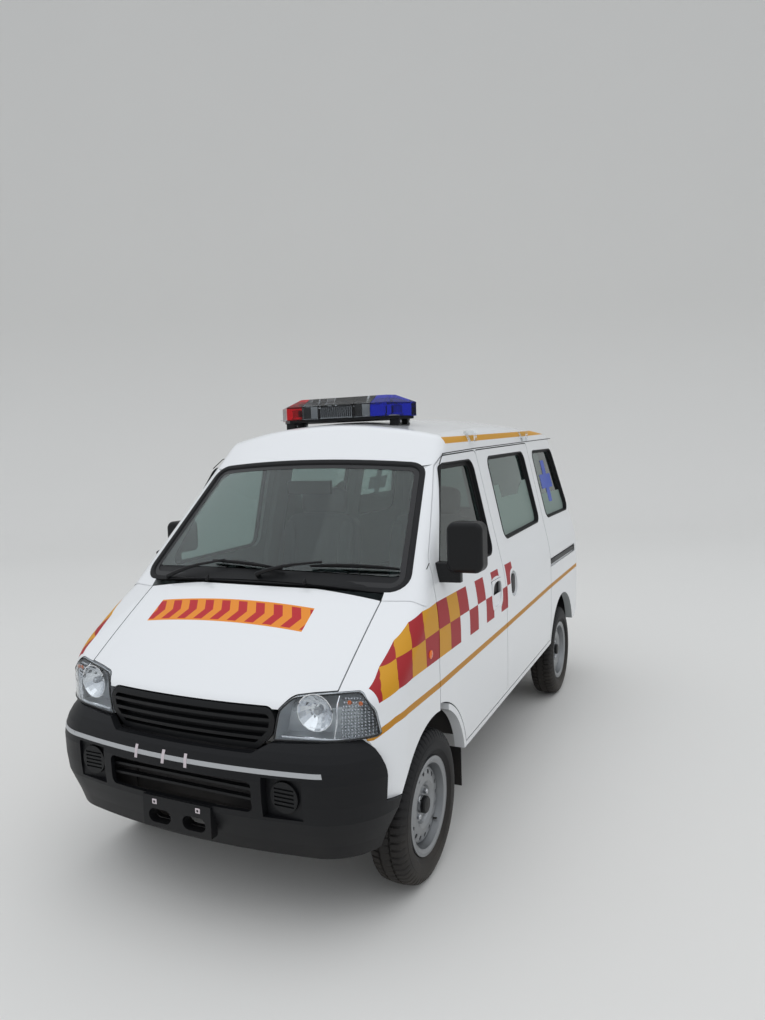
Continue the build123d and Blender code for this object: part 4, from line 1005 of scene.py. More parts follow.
def finish_repeat(group, given, result, points, **turn):
    """Copies of the piece on the points, made real and given their material."""
    source = put(group, "GeometryNodeObjectInfo", {"Object": given.outputs["Piece"]})
    placed = {"Points": points, "Instance": source.outputs["Geometry"], **turn}
    copies = put(group, "GeometryNodeInstanceOnPoints", placed)
    real = put(group, "GeometryNodeRealizeInstances", {"Geometry": copies.outputs[0]})
    dressed = put(group, "GeometryNodeSetMaterial", {"Geometry": real.outputs[0],
                                                     "Material": given.outputs["Material"]})
    group.links.new(dressed.outputs[0], result.inputs[0])


def make_ring_group():
    """Copies round a circle in the XY plane, each with its own X axis outwards."""
    group, keys, given, result = start_repeat("ring_of", "Radius", "Float", 0.1)
    circle = put(group, "GeometryNodeMeshCircle", {"Vertices": given.outputs["Count"],
                                                   "Radius": given.outputs["Radius"]})
    index = put(group, "GeometryNodeInputIndex").outputs[0]
    angle = calc(group, "MULTIPLY", calc(group, "DIVIDE", index, given.outputs["Count"]), 2 * math.pi)
    euler = put(group, "ShaderNodeCombineXYZ", {2: angle}).outputs[0]
    finish_repeat(group, given, result, circle.outputs[0], Rotation=euler)
    return group, keys


def make_row_group():
    """Copies along a line from the origin."""
    group, keys, given, result = start_repeat("row_of", "Step", "Vector", (0.01, 0, 0))
    line = put(group, "GeometryNodeMeshLine", {"Count": given.outputs["Count"],
                                               "Offset": given.outputs["Step"]})
    finish_repeat(group, given, result, line.outputs[0])
    return group, keys


ring_group, ring_keys = make_ring_group()
row_group, row_keys = make_row_group()
print("repeat groups", ring_group.name, row_group.name)

# %% [markdown]
# `grow` lets a carrier object run one of the trees on a shape and reads the result back as plain points
# and faces, so a repeated piece is placed and finished like any other. The carrier and the shape's object
# are only tools and are removed again.

# %% Copies as points and faces
def grow(group, keys, shape, look, **values):
    """Points and faces of the copies that a group makes of one shape."""
    mesh = bpy.data.meshes.new("piece")
    mesh.from_pydata([tuple(point) for point in shape[0]], [], shape[1])
    piece = bpy.data.objects.new("piece", mesh)
    carrier = bpy.data.objects.new("carrier", bpy.data.meshes.new("carrier"))
    scene.collection.objects.link(piece)
    scene.collection.objects.link(carrier)
    modifier = carrier.modifiers.new("repeat", "NODES")
    modifier.node_group = group
    for label, value in {"Piece": piece, "Material": finish[look], **values}.items():
        modifier[keys[label]] = value
    bpy.context.view_layer.update()
    depsgraph = bpy.context.evaluated_depsgraph_get()
    grown = bpy.data.meshes.new_from_object(carrier.evaluated_get(depsgraph), depsgraph=depsgraph)
    points = [corner.co.copy() for corner in grown.vertices]
    faces = [list(face.vertices) for face in grown.polygons]
    for thing in (carrier, piece):
        bpy.data.objects.remove(thing)
    bpy.data.meshes.remove(grown)
    return points, faces


def ring_of(shape, look, count, radius):
    """A shape repeated round a circle."""
    return grow(ring_group, ring_keys, shape, look, Count=count, Radius=radius)


def row_of(shape, look, count, step):
    """A shape repeated along a line."""
    return grow(row_group, row_keys, shape, look, Count=count, Step=step)


def moved(shape, matrix):
    """A shape placed by a matrix."""
    return [matrix @ Vector(point) for point in shape[0]], shape[1]


print("a ring of four cubes has", len(ring_of(block((0, 0, 0), (1, 1, 1)), "steel", 4, 3.0)[0]), "corners")

# %% [markdown]
# A tyre is a section turned about its axle. Two grooves run round the tread in a zigzag, and the
# shoulders are cut into blocks by grooves across. The grooves could be cut by a Boolean, but that leaves
# ragged faces. Here a row's radius and place change from step to step round the wheel, which keeps the
# skin closed and its faces even.

# %% Tyre tread
PITCHES, SAMPLES = 60, 8
# How far the grooves along the tread zigzag, and how deep those across its shoulders and its middle are
ZIGZAG, SHOULDER_CUT, MIDDLE_CUT = 0.0022, 0.0055, 0.0035
# Rows nearer to the middle than this run straight; past the other one, the middle is cut
STRAIGHT_WITHIN, CUT_PAST = 0.012, 0.004
sidewall = ((0.056, 0.1725), (0.0572, 0.186), (0.064, 0.198), (0.0722, 0.2085), (0.0735, 0.2095),
            (0.0755, 0.219), (0.0757, 0.231), (0.0748, 0.2425), (0.0736, 0.2435), (0.0712, 0.256))
# Rows over the tread from its edge to the middle: place across, radius and kind of row
tread = ((0.0672, 0.266, "across"), (0.0620, 0.2760, "across"), (0.0565, 0.2810, "across"),
         (0.050, 0.2840, "across"), (0.038, 0.2862, "across"), (0.0262, 0.2872, "across"),
         (0.0245, 0.2810, "floor"), (0.0190, 0.2810, "floor"),
         (0.0172, 0.2882, "centre"), (0.008, 0.2888, "centre"), (0.0, 0.2889, "centre"))


def tyre_rings():
    """The tyre's section as rows of points round the wheel, from one bead to the other and back."""
    half = [(x, radius, "plain") for x, radius in sidewall] + list(tread)
    rows = half + [(-x, radius, kind) for x, radius, kind in half[-2::-1]]
    steps = PITCHES * SAMPLES
    rings = []
    for x, radius, kind in rows:
        bends = kind in ("floor", "centre") and abs(x) >= STRAIGHT_WITHIN
        ring = []
        for step in range(steps):
            phase = step % SAMPLES
            shifted = (phase + (SAMPLES // 2 if x < 0 else 0)) % SAMPLES
            shift = ZIGZAG * (abs(phase - SAMPLES / 2) / (SAMPLES / 4) - 1) if bends else 0
            reach = radius
            if kind == "across" and shifted < SAMPLES // 4:
                reach -= SHOULDER_CUT
            if kind == "centre" and phase == SAMPLES // 2 and x > CUT_PAST:
                reach -= MIDDLE_CUT
            angle = 2 * math.pi * step / steps
            ring.append(Vector((x + shift, reach * math.cos(angle), reach * math.sin(angle))))
        rings.append(ring)
    return rings + [rings[0]]


tyre = skin(tyre_rings())
print("tyre faces", len(tyre[1]))

# %% [markdown]
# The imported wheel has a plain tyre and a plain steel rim. Each wheel gets the tread above, four nuts, a
# black cap over its hub and a rubber valve. One set is made at the origin, with its outer side towards X,
# and a matrix puts it on each of the four corners. The right side's matrix mirrors it. Each wheel is
# turned a little differently, so that the valves don't all point the same way.

# %% Wheels
TYRE_RADIUS, FIRST_TURN = 0.289, 0.4
NUT_COUNT, NUT_CIRCLE, NUT_SEAT = 4, 0.050, 0.0265
WHEELS = (("front_left", 1, 0.645, -1.1975), ("front_right", -1, 0.645, -1.1975),
          ("rear_left", 1, 0.640, 1.1525), ("rear_right", -1, 0.640, 1.1525))
nut = lathe([(-0.002, 0.0115), (0.010, 0.0115), (0.013, 0.009), (0.0135, 0.0)], (0, 0, 0), (0, 0, 1), 6)
nuts = ring_of(nut, "tube", NUT_COUNT, NUT_CIRCLE)
# Turns what points up so that it points out of the wheel
stand_up = Matrix(((0, 0, 1, 0), (0, 1, 0, 0), (-1, 0, 0, 0), (0, 0, 0, 1)))
cap = lathe([(0.030, 0.0), (0.030, 0.033), (0.049, 0.0325), (0.0535, 0.029), (0.0555, 0.020), (0.0565, 0.0)],
            (0, 0, 0), (1, 0, 0), 40)
valve = rod([(0.030, 0.146, 0.0), (0.046, 0.141, 0.0), (0.052, 0.138, 0.0)], [0.0035, 0.0035, 0.0028])
for name, side, across, along in WHEELS:
    placed = Matrix.Translation((side * across, along, TYRE_RADIUS)) @ Matrix.Diagonal((side, 1, 1, 1))
    turned = placed @ Matrix.Rotation(FIRST_TURN + along, 4, "X")
    body = f"wheel_{name}"
    rubber = solid(f"tyre_tread_{name}", [moved(tyre, turned)], "rubber", body=body, sharp=28)
    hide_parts(f"tyre_{name}")
    lifted = Matrix.Translation((NUT_SEAT, 0, 0)) @ stand_up
    solid(f"wheel_nuts_{name}", [moved(nuts, turned @ lifted)], "tube", body=body)
    solid(f"hub_cap_{name}", [moved(cap, turned)], "trim", body=body)
    solid(f"valve_{name}", [moved(valve, turned)], "rubber", body=body)
print("dressed wheels", len(WHEELS))

# %% [markdown]
# A few pieces must lie exactly on a packed surface, such as the silver tape on the bumper. A Shrinkwrap
# modifier could press them on to it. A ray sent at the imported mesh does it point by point: it tells where
# the surface is and which way it faces, so the piece keeps its own thickness.

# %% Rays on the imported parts
trees = {}


def hit(node, origin, direction):
    """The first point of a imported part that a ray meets, and the surface's direction there."""
    if node not in trees:
        mesh = nodes[node].data
        corners = [corner.co.copy() for corner in mesh.vertices]
        trees[node] = BVHTree.FromPolygons(corners, [face.vertices[:] for face in mesh.polygons])
    over = Vector((MIDDLE_X, 0, 0))
    point, normal, _, _ = trees[node].ray_cast(Vector(origin) + over, Vector(direction).normalized())
    return (point - over if point else None), normal


def ribbon(path, thick):
    """A thin band along a path of (one edge, other edge, outward direction)."""
    rings = []
    for low, high, outward in path:
        rings.append([low, low + outward * thick, high + outward * thick, high])
    return skin(rings, caps=True)


# A place well ahead of the vehicle, from where rays are sent back at its front
AHEAD, BACKWARDS = -3, (0, 1, 0)
print("bumper's face", hit("front_bumper", (0, AHEAD, 0.6), BACKWARDS)[0])

# %% [markdown]
# A new vehicle leaves the works with silver tape round its bumper. The tape could be a mask in the
# bumper's finish, but it stands a little proud and bridges the grain. Rays from all round the front, one
# every one and a half degrees, find the bumper at the tape's two edges.

# %% Bumper tape
TAPE_LOW, TAPE_HIGH, TAPE_END, TAPE_SUNK, TAPE_THICK = 0.600, 0.616, 0.668, 0.0005, 0.0014
BUMPER_CENTRE, RAY_REACH = -1.45, 2
tape_path = []
for half_degrees in range(-176, 125, 3):
    angle = math.radians(half_degrees / 2)
    away = Vector((math.sin(angle), -math.cos(angle), 0))
    low, outward = hit("front_bumper", Vector((0, BUMPER_CENTRE, TAPE_LOW)) + away * RAY_REACH, -away)
    high, _ = hit("front_bumper", Vector((0, BUMPER_CENTRE, TAPE_HIGH)) + away * RAY_REACH, -away)
    if low and high and low.x < TAPE_END:
        tape_path.append((low - outward * TAPE_SUNK, high - outward * TAPE_SUNK, outward))
solid("bumper_tape", [ribbon(tape_path, TAPE_THICK)], "tape")
print("tape points", len(tape_path))

# %% [markdown]
# Three paper tags cross the tape and hold it down. They are made like the tape, from the foot upwards,
# and two of them lean a little.

# %% Paper tags
TAG_FOOT, TAG_STEP, TAG_STEPS, TAG_HALF, TAG_THICK = 0.585, 0.0065, 7, 0.006, 0.0019
tags = []
for x, lean in ((-0.176, 0.0), (-0.050, 0.002), (0.051, -0.002)):
    tag_path = []
    for step in range(TAG_STEPS + 1):
        z = TAG_FOOT + TAG_STEP * step
        shift = lean * step / TAG_STEPS
        right, outward = hit("front_bumper", (x - TAG_HALF + shift, AHEAD, z), BACKWARDS)
        left, _ = hit("front_bumper", (x + TAG_HALF + shift, AHEAD, z), BACKWARDS)
        tag_path.append((right, left, outward))
    tags.append(ribbon(tag_path, TAG_THICK))
solid("bumper_tags", tags, "tag")
print("tags", len(tags))

# %% [markdown]
# Two pale plastic clips with a screw in each mark where a number plate goes. They are square to the
# vehicle and flat, so a bevelled block is enough.

# %% Plate clips
CLIP_X, CLIP_HALF, CLIP_BEVEL = 0.096, 0.010, 0.0012
CLIP_FRONT, CLIP_BACK, CLIP_LOW, CLIP_HIGH = -1.8112, -1.8085, 0.429, 0.447
screw = [(0.0, 0.0), (0.0, 0.0052), (0.0018, 0.0045), (0.002, 0.0)]
clips, screws = [], []
for side in (1, -1):
    x = side * CLIP_X
    clips.append(block((x - CLIP_HALF, CLIP_FRONT, CLIP_LOW), (x + CLIP_HALF, CLIP_BACK, CLIP_HIGH),
                       CLIP_BEVEL))
    screws.append(lathe(screw, (x, -1.8098, 0.438), (0, -1, 0), 16))
solid("plate_clips", clips, "tag")
solid("plate_clip_screws", screws, "lamp_black")
print("plate clips", len(clips))

# %% [markdown]
# A headlamp's lens sits in a thin black gasket. Its line is drawn once as a rounded outline seen from the
# front, and rays at the lens give each point its depth. Everything in the lamps is made on the left and
# mirrored, because the two lamps are alike.

# %% Headlamp gaskets
def lamp_face(x, z, behind):
    """A point so far behind the lens's face, or None beside the lens."""
    point, _ = hit("headlamp_lenses", (x, AHEAD, z), BACKWARDS)
    return Vector((x, point.y + behind, z)) if point else None


def both_sides(shapes):
    """Shapes on the left and their mirror images on the right."""
    return shapes + [mirrored(shape) for shape in shapes]


GASKET_INSET, GASKET_RADIUS = 0.0035, 0.0028
lens_line = rounded([(0.357, 0.690), (0.379, 0.796), (0.412, 0.833), (0.482, 0.842), (0.640, 0.856),
                     (0.684, 0.800), (0.697, 0.706)],
                    [0.008, 0.030, 0.045, 0.120, 0.030, 0.060, 0.012], spacing=0.02)
edge = [lamp_face(*(point - outward * GASKET_INSET), 0.0) for point, outward in lens_line]
edge = [spot for spot in edge if spot]
solid("headlamp_gaskets", both_sides([rod([*edge, edge[0]], GASKET_RADIUS, 8)]), "lamp_black")
print("gasket points", len(edge))

# %% [markdown]
# Behind the lens a silvered bowl throws the light of its bulb forwards. A real bowl is made of many small
# facets. Turned in only 18 steps and shaded sharp, the bowl has facets of its own, and no texture is
# needed.

# %% Headlamp bowls and bulbs
BOWL_X, BOWL_Z, BOWL_DEEP, BULB_DEEP = 0.499, 0.790, 0.016, 0.036
bowl = [(0.047, 0.0), (0.045, 0.014), (0.036, 0.030), (0.022, 0.046), (0.008, 0.058), (0.0, 0.063),
        (0.0, 0.066), (0.024, 0.050), (0.040, 0.032), (0.050, 0.014), (0.052, 0.0)]
bulb = [(0.0, 0.0), (0.0, 0.012), (0.010, 0.013), (0.024, 0.012), (0.030, 0.008), (0.031, 0.0)]
face = lamp_face(BOWL_X, BOWL_Z, BOWL_DEEP)
bowls = [lathe(bowl, face, (-0.10, 1, 0.03), 18)]
bulbs = [lathe(bulb, face + Vector((0.0, BULB_DEEP, 0.0)), (0.10, -1, -0.03), 20)]
solid("headlamp_bowls", both_sides(bowls), "chrome", sharp=6)
solid("headlamp_bulbs", both_sides(bulbs), "tube")
print("bowl's face", face)

# %% [markdown]
# The lamp's outer part is the turn lamp, whose reflector is covered in small beads. They could come from
# a bump in the material, but in a clear lamp the edge of each bead catches the light, so they are real. A
# silvered wall parts it from the headlamp, a lip runs below, and two amber spots are its bulbs.

# %% Turn lamps
BEAD_COLUMNS, BEAD_LINES, BEAD_DEEP, GLOW_DEEP = 11, 12, 0.020, 0.014
FIRST_X, FIRST_Z, STEP_X, STEP_Z = 0.588, 0.712, 0.0092, 0.0108
# Beads nearer than this to the lens's outer or upper edge are left out
MARGIN_X, MARGIN_Z = 0.008, 0.012
TURN_OUT = (0.2, -1, 0)
bead = [(0.0, 0.0), (0.0, 0.0042), (0.0028, 0.0030), (0.004, 0.0)]
glow_bulb = [(0.0, 0.0), (0.0, 0.008), (0.004, 0.006), (0.006, 0.0)]
beads, walls, glow = [], [], []
for column in range(BEAD_COLUMNS):
    for line in range(BEAD_LINES):
        x, z = FIRST_X + STEP_X * column, FIRST_Z + STEP_Z * line
        spot = lamp_face(x, z, BEAD_DEEP)
        if spot and lamp_face(x + MARGIN_X, z, 0) and lamp_face(x, z + MARGIN_Z, 0):
            beads.append(lathe(bead, spot, TURN_OUT, 8))
WALL_DEEP, WALL_STEPS = 0.012, 7
wall = [lamp_face(0.577 - 0.02 * abs(step / WALL_STEPS - 0.5), 0.708 + 0.0185 * step, WALL_DEEP)
        for step in range(WALL_STEPS + 1)]
walls.append(rod([spot for spot in wall if spot], 0.0035, 8))
lip = [lamp_face(0.385 + 0.027 * step, 0.7055, WALL_DEEP) for step in range(12)]
walls.append(rod([spot for spot in lip if spot], 0.0045, 8))
for x, z in ((0.606, 0.822), (0.640, 0.818)):
    spot = lamp_face(x, z, GLOW_DEEP)
    if spot:
        glow.append(lathe(glow_bulb, spot, TURN_OUT, 12))
solid("turn_lamp_beads", both_sides(beads), "tube", sharp=60)
solid("headlamp_walls", both_sides(walls), "chrome")
solid("turn_lamp_glow", both_sides(glow), "amber")
print("beads", len(beads))

# %% [markdown]
# The light bar is a row of lenses over one base. Black bands wrap round it where its sections join: each
# is the bar's own section, a little larger. A silvered floor lies under the lenses.

# %% Light bar bands and floor
BAR_Y, BAR_DEPTH, BAR_LOW, BAR_EAVES, BAR_TOP = -0.433, 0.118, 1.814, 1.880, 1.920
RIDGE_HALF, RIDGE_TOP = 0.036, BAR_TOP - 0.0003
BAND_OUT, BAND_IN = 0.0008, -0.002


def bar_band(x, width):
    """A thin band round the bar's section at a place across the vehicle."""
    section = [(-BAR_DEPTH, BAR_LOW), (-BAR_DEPTH, BAR_EAVES), (-RIDGE_HALF, RIDGE_TOP),
               (RIDGE_HALF, RIDGE_TOP), (BAR_DEPTH, BAR_EAVES), (BAR_DEPTH, BAR_LOW)]
    outward = [(-1, 0), (-0.9, 0.4), (-0.4, 0.2), (0.4, 0.2), (0.9, 0.4), (1, 0)]
    corners = ((-width / 2, BAND_IN), (-width / 2, BAND_OUT), (width / 2, BAND_OUT), (width / 2, BAND_IN))
    rings = []
    for (y, z), (off_y, off_z) in zip(section, outward):
        rings.append([Vector((x + dx, BAR_Y + y + off_y * reach, z + off_z * reach))
                      for dx, reach in corners])
    return skin(rings, caps=True)


bands = [bar_band(x, 0.005) for x in (-0.096, 0.096)] + [bar_band(x, 0.002) for x in (-0.188, 0.188)]
solid("light_bar_bands", bands, "trim")
FLOOR_HALF, FLOOR_REACH = 0.320, 0.1105
bar_floor = block((-FLOOR_HALF, BAR_Y - FLOOR_REACH, 1.8165), (FLOOR_HALF, BAR_Y + FLOOR_REACH, 1.8185))
solid("light_bar_floor", [bar_floor], "tube")
print("bands", len(bands))

# %% [markdown]
# The lenses are solid, so what they hold lies a little inside them. Behind the middle one stand upright
# fins before a dark back, with silvered and dark strips beside them. Front and back are alike, so a loop
# makes both.

# %% Light bar middle
FIN_COUNT, FIN_STEP, FIN_START, FIN_FOOT = 16, 0.0112, -0.084, 1.822
STRIP_LOW, STRIP_HIGH, STRIP_HALF_DEPTH, STRIP_BEVEL = 1.820, 1.876, 0.003, 0.001
FACE_REACH, BACK_GAP, BACK_HALF = 0.104, 0.012, 0.002
fin = block((-0.0012, -0.004, 0), (0.0012, 0.004, 0.048))
backs, strips, fins, darks = [], [], [], []


def upright_strip(low_x, high_x, y):
    """A strip between two places across the vehicle."""
    return block((low_x, y - STRIP_HALF_DEPTH, STRIP_LOW), (high_x, y + STRIP_HALF_DEPTH, STRIP_HIGH),
                 STRIP_BEVEL)


for face in (-1, 1):
    near = BAR_Y + face * FACE_REACH
    row = row_of(fin, "tube", FIN_COUNT, (FIN_STEP, 0, 0))
    fins.append(moved(row, Matrix.Translation((FIN_START, near, FIN_FOOT))))
    back = near - face * BACK_GAP
    backs.append(block((-0.091, back - BACK_HALF, 1.818), (0.091, back + BACK_HALF, STRIP_HIGH)))
    strips += [upright_strip(-0.141, -0.101, near), upright_strip(0.142, 0.184, near)]
    strips.append(block((-0.088, near - STRIP_HALF_DEPTH, 1.8190), (0.088, near + STRIP_HALF_DEPTH, 1.8225)))
    darks += [upright_strip(-0.184, -0.144, near), upright_strip(0.101, 0.140, near)]
solid("light_bar_fins", fins, "tube", sharp=20)
solid("light_bar_backs", backs, "lamp_black")
solid("light_bar_strips", strips, "tape")
solid("light_bar_darks", darks, "lamp_black")
print("rows of fins", len(fins))

# %% [markdown]
# A lamp stands in each coloured end, and hexagon bolts hold the bar's clamps. Both are profiles turned
# about an axis; six steps are enough to make a bolt's head.

# %% Light bar lamps and bolts
lamp_profile = [(0.0, 0.0), (0.0, 0.034), (0.006, 0.034), (0.012, 0.028), (0.046, 0.028), (0.050, 0.020),
                (0.052, 0.0)]
rotors = [lathe(lamp_profile, (x, BAR_Y, STRIP_LOW), (0, 0, 1), 24) for x in (-0.262, 0.262)]
solid("light_bar_lamps", rotors, "tube")
CLAMP_X, CLAMP_Y, CLAMP_Z, BOLT_OUT = 0.290, 0.050, 1.79, 0.0235
bolt = [(0.0, 0.0), (0.0, 0.007), (0.004, 0.007), (0.005, 0.0)]
clamps = []
for x in (-CLAMP_X, CLAMP_X):
    for y in (BAR_Y - CLAMP_Y, BAR_Y + CLAMP_Y):
        for face in (-1, 1):
            clamps.append(lathe(bolt, (x + face * BOLT_OUT, y, CLAMP_Z), (face, 0, 0), 6))
solid("light_bar_clamp_bolts", clamps, "tube")
print("clamp bolts", len(clamps))

# %% [markdown]
# A mirror's glass is a thin silvered plate in its housing. The left mirror stands out and faces
# backwards; the right one is folded against its door, so its glass faces the window. The third is on the
# inner mirror.

# %% Mirror glasses
solid("mirror_glass_left", [block((0.7475, -0.9685, 1.180), (0.8765, -0.9665, 1.357), 0.0009)], "chrome",
      body="front_door_left")
solid("mirror_glass_right", [block((-0.7125, -0.892, 1.184), (-0.7105, -0.764, 1.323), 0.0009)], "chrome",
      body="front_door_right")
solid("inner_mirror_glass", [block((-0.080, -0.8475, 1.469), (0.130, -0.8460, 1.521), 0.0007)], "chrome")

# %% [markdown]
# Small lamps sit high on the roof's sides, each with six bright dots in its face, and an amber repeater
# sits in each front fender. They are shallow turned profiles.

# %% Roof lamp dots and side repeaters
dot = [(-0.001, 0.0), (-0.001, 0.0048), (0.0008, 0.0040), (0.0016, 0.0)]
DOT_X, DOT_FOOT = 0.612, 1.705
dots = []
for side in (1, -1):
    for y in (-0.256, 0.732):
        for step_y in (-0.015, 0.0, 0.015):
            for step_z in (0.0, 0.014):
                dots.append(lathe(dot, (side * DOT_X, y + step_y, DOT_FOOT + step_z), (side, 0, 0), 10))
solid("roof_lamp_dots", dots, "chrome", sharp=60)
repeater = [(-0.004, 0.0), (-0.004, 0.017), (0.003, 0.016), (0.0055, 0.011), (0.0065, 0.0)]
repeaters = [lathe(repeater, on_side(-1.222, 0.890, 0.0, side), (side, 0, 0), 28) for side in (1, -1)]
solid("side_repeaters", repeaters, "amber")
print("dots", len(dots))

# %% [markdown]
# The tailgate has a bar to pull it by and a lock above it. The bar is a rod with slimmer ends that
# follows the tail's round plan.

# %% Tailgate grip and lock
GRIP_START, GRIP_STEP, GRIP_STEPS, GRIP_Z, GRIP_LIFT = -0.27, 0.045, 12, 0.862, 0.004
grip = [on_tail(GRIP_START + GRIP_STEP * step, GRIP_Z, GRIP_LIFT) for step in range(GRIP_STEPS + 1)]
grip_radii = [0.006, *[0.011] * (GRIP_STEPS - 1), 0.006]
solid("tailgate_grip", [rod(grip, grip_radii)], "trim", body="tailgate")
tail_lock = lathe([(-0.003, 0.0), (-0.003, 0.011), (0.002, 0.010), (0.003, 0.0)], on_tail(0.0, 0.925),
                  (0, 1, 0), 20)
solid("tailgate_lock", [tail_lock], "tube", body="tailgate")
print("grip points", len(grip))

# %% [markdown]
# A door handle lies in a dish with a smooth oval rim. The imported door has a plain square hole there. A
# Boolean could round the hole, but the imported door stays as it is, so a plate with an oval hole covers
# the hole's corners, and a thin cover closes the dish behind the handle.

# %% Handle recesses and locks
RECESS_CENTRE, PLATE_HALF, OVAL_HALF = (-0.343, 0.953), (0.0765, 0.0685), (0.066, 0.060)
PLATE_IN, PLATE_OUT, COVER_IN, COVER_OUT = 0.7305, 0.7368, 0.7297, 0.7306


def oval_plate(centre, outer, inner, low_x, high_x, side, steps=64):
    """A plate with straight outer edges and an oval hole, square to the vehicle's side."""
    rings = []
    for x in (low_x, high_x):
        for kind in ("outer", "inner"):
            ring = []
            for step in range(steps):
                angle = 2 * math.pi * step / steps
                along, upward = math.cos(angle), math.sin(angle)
                if kind == "outer":
                    reach = min(outer[0] / max(abs(along), 1e-6), outer[1] / max(abs(upward), 1e-6))
                else:
                    reach = (abs(along) / inner[0]) ** OVAL_POWER + (abs(upward) / inner[1]) ** OVAL_POWER
                    reach = reach ** (-1 / OVAL_POWER)
                ring.append(Vector((side * x, centre[0] + reach * along, centre[1] + reach * upward)))
            rings.append(ring)
    low_outer, low_inner, high_outer, high_inner = rings
    return skin([low_outer, high_outer, high_inner, low_inner, low_outer])


door_lock = [(-0.006, 0.0), (-0.006, 0.0075), (-0.001, 0.007), (0.0, 0.0)]
for side, name in ((1, "left"), (-1, "right")):
    plate = oval_plate(RECESS_CENTRE, PLATE_HALF, OVAL_HALF, PLATE_IN, PLATE_OUT, side)
    low, high = sorted((side * COVER_IN, side * COVER_OUT))
    cover = block((low, -0.4145, 0.8885), (high, -0.2715, 0.9515))
    solid(f"handle_recess_{name}", [plate, cover], "paint", body=f"front_door_{name}")
    lock = lathe(door_lock, on_side(-0.262, 0.898, 0.0, side), (side, 0, 0), 16)
    solid(f"door_lock_{name}", [lock], "tube", body=f"front_door_{name}")
print("plate points", len(plate[0]))

# %% [markdown]
# Stuffed forms bulge: even a firm cushion is round at its edges and crowned in the middle. A box with a
# Bevel modifier stays flat on top. `cushion` bends a ball into a box instead, which leaves a crown; the
# lower its roundness, the squarer it is.

# %% Cushion helper and its finishes
def cushion(centre, size, tilt=0.0, roundness=0.35, steps=(36, 18)):
    """A crowned, padded block, tilted about the vehicle's cross axis."""
    turn = Matrix.Rotation(tilt, 3, "X")

    def bent(value):
        """A cosine or sine moved towards 1 or -1, which makes a ball squarer."""
        return math.copysign(abs(value) ** roundness, value)

    around, up = steps
    rings = []
    for row in range(1, up):
        lift = -math.pi / 2 + math.pi * row / up
        ring = []
        for step in range(around):
            angle = 2 * math.pi * step / around
            spot = Vector((bent(math.cos(lift)) * bent(math.cos(angle)) * size[0] / 2,
                           bent(math.cos(lift)) * bent(math.sin(angle)) * size[1] / 2,
                           bent(math.sin(lift)) * size[2] / 2))
            ring.append(Vector(centre) + turn @ spot)
        rings.append(ring)
    return skin(rings, caps=True)


finish["seat"] = make_finish("seat_cloth", rgb(84, 87, 92), 0.85, grain=(1600.0, 0.0004, 0.6),
                             tone=(5.0, 0.1), Sheen_Weight=0.3)
finish["vinyl"] = make_finish("padded_vinyl", rgb(58, 60, 66), 0.42, grain=(700.0, 0.0002, 0.3),
                              tone=(5.0, 0.08))
print("cushion points", len(cushion((0, 0, 0), (1, 1, 1))[0]))

# %% [markdown]
# Each front seat has a cushion, a back and a headrest, with a side bolster along the cushion and along
# the back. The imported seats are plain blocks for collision, so these stand in for them.

# %% Front seats
SEAT_X, CUSHION_TILT, BACK_TILT, REST_TILT = 0.33, 0.03, -0.17, -0.12
seat_pads = []
for x in (-SEAT_X, SEAT_X):
    seat_pads.append(cushion((x, -0.47, 0.805), (0.46, 0.47, 0.135), CUSHION_TILT))
    seat_pads.append(cushion((x, -0.165, 1.065), (0.45, 0.13, 0.50), BACK_TILT))
    for side in (-1, 1):
        seat_pads.append(cushion((x + side * 0.185, -0.475, 0.832), (0.085, 0.44, 0.10), CUSHION_TILT, 0.5))
        seat_pads.append(cushion((x + side * 0.175, -0.200, 1.055), (0.085, 0.10, 0.44), BACK_TILT, 0.5))
    seat_pads.append(cushion((x, -0.108, 1.375), (0.27, 0.10, 0.16), REST_TILT, 0.45))
seats = solid("seat_pads", seat_pads, "seat", sharp=60)
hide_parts("front_seats")
stems, boxes = [], []
for x in (-SEAT_X, SEAT_X):
    boxes.append(block((x - 0.20, -0.68, 0.731), (x + 0.20, -0.16, 0.760), 0.008))
    for side in (-1, 1):
        stems.append(rod([(x + side * 0.06, -0.142, 1.28), (x + side * 0.06, -0.122, 1.36)], 0.006))
solid("headrest_stems", stems, "tube")
solid("seat_frames", boxes, "chassis")
print("seat pads", len(seat_pads))

# %% [markdown]
# The load space has a stretcher with a mattress and two side rails, and a padded bench for the attendant.
# Mattress and bench pad are long and firm, so their roundness is low and they have more points along
# their edges.

# %% Mattress, bench pad and rails
FIRM, FINE = 0.22, (72, 20)
mattress = solid("mattress_pad", [cushion((0.325, 0.81, 0.7755), (0.51, 1.60, 0.071), 0.0, FIRM, FINE)],
                 "vinyl", sharp=60)
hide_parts("stretcher_mattress")
bench_pad = solid("bench_pad", [cushion((-0.4575, 0.74, 0.776), (0.367, 1.362, 0.068), 0.0, FIRM, FINE)],
                  "vinyl", sharp=60)
RAIL_FOOT, RAIL_SHOULDER, RAIL_TOP, RAIL_RADIUS = 0.735, 0.90, 0.925, 0.009
rails = []
for x in (0.066, 0.584):
    rails.append(rod([(x, 0.45, RAIL_FOOT), (x, 0.46, RAIL_SHOULDER), (x, 0.50, RAIL_TOP),
                      (x, 1.00, RAIL_TOP), (x, 1.04, RAIL_SHOULDER), (x, 1.05, RAIL_FOOT)], RAIL_RADIUS))
solid("stretcher_rails", rails, "tube")
print("rails", len(rails))

# %% [markdown]
# The dashboard is seen through the windscreen: two middle vents, a vent at each end and two dials before
# the driver. A vent's slats are one slat repeated upwards by the row group.

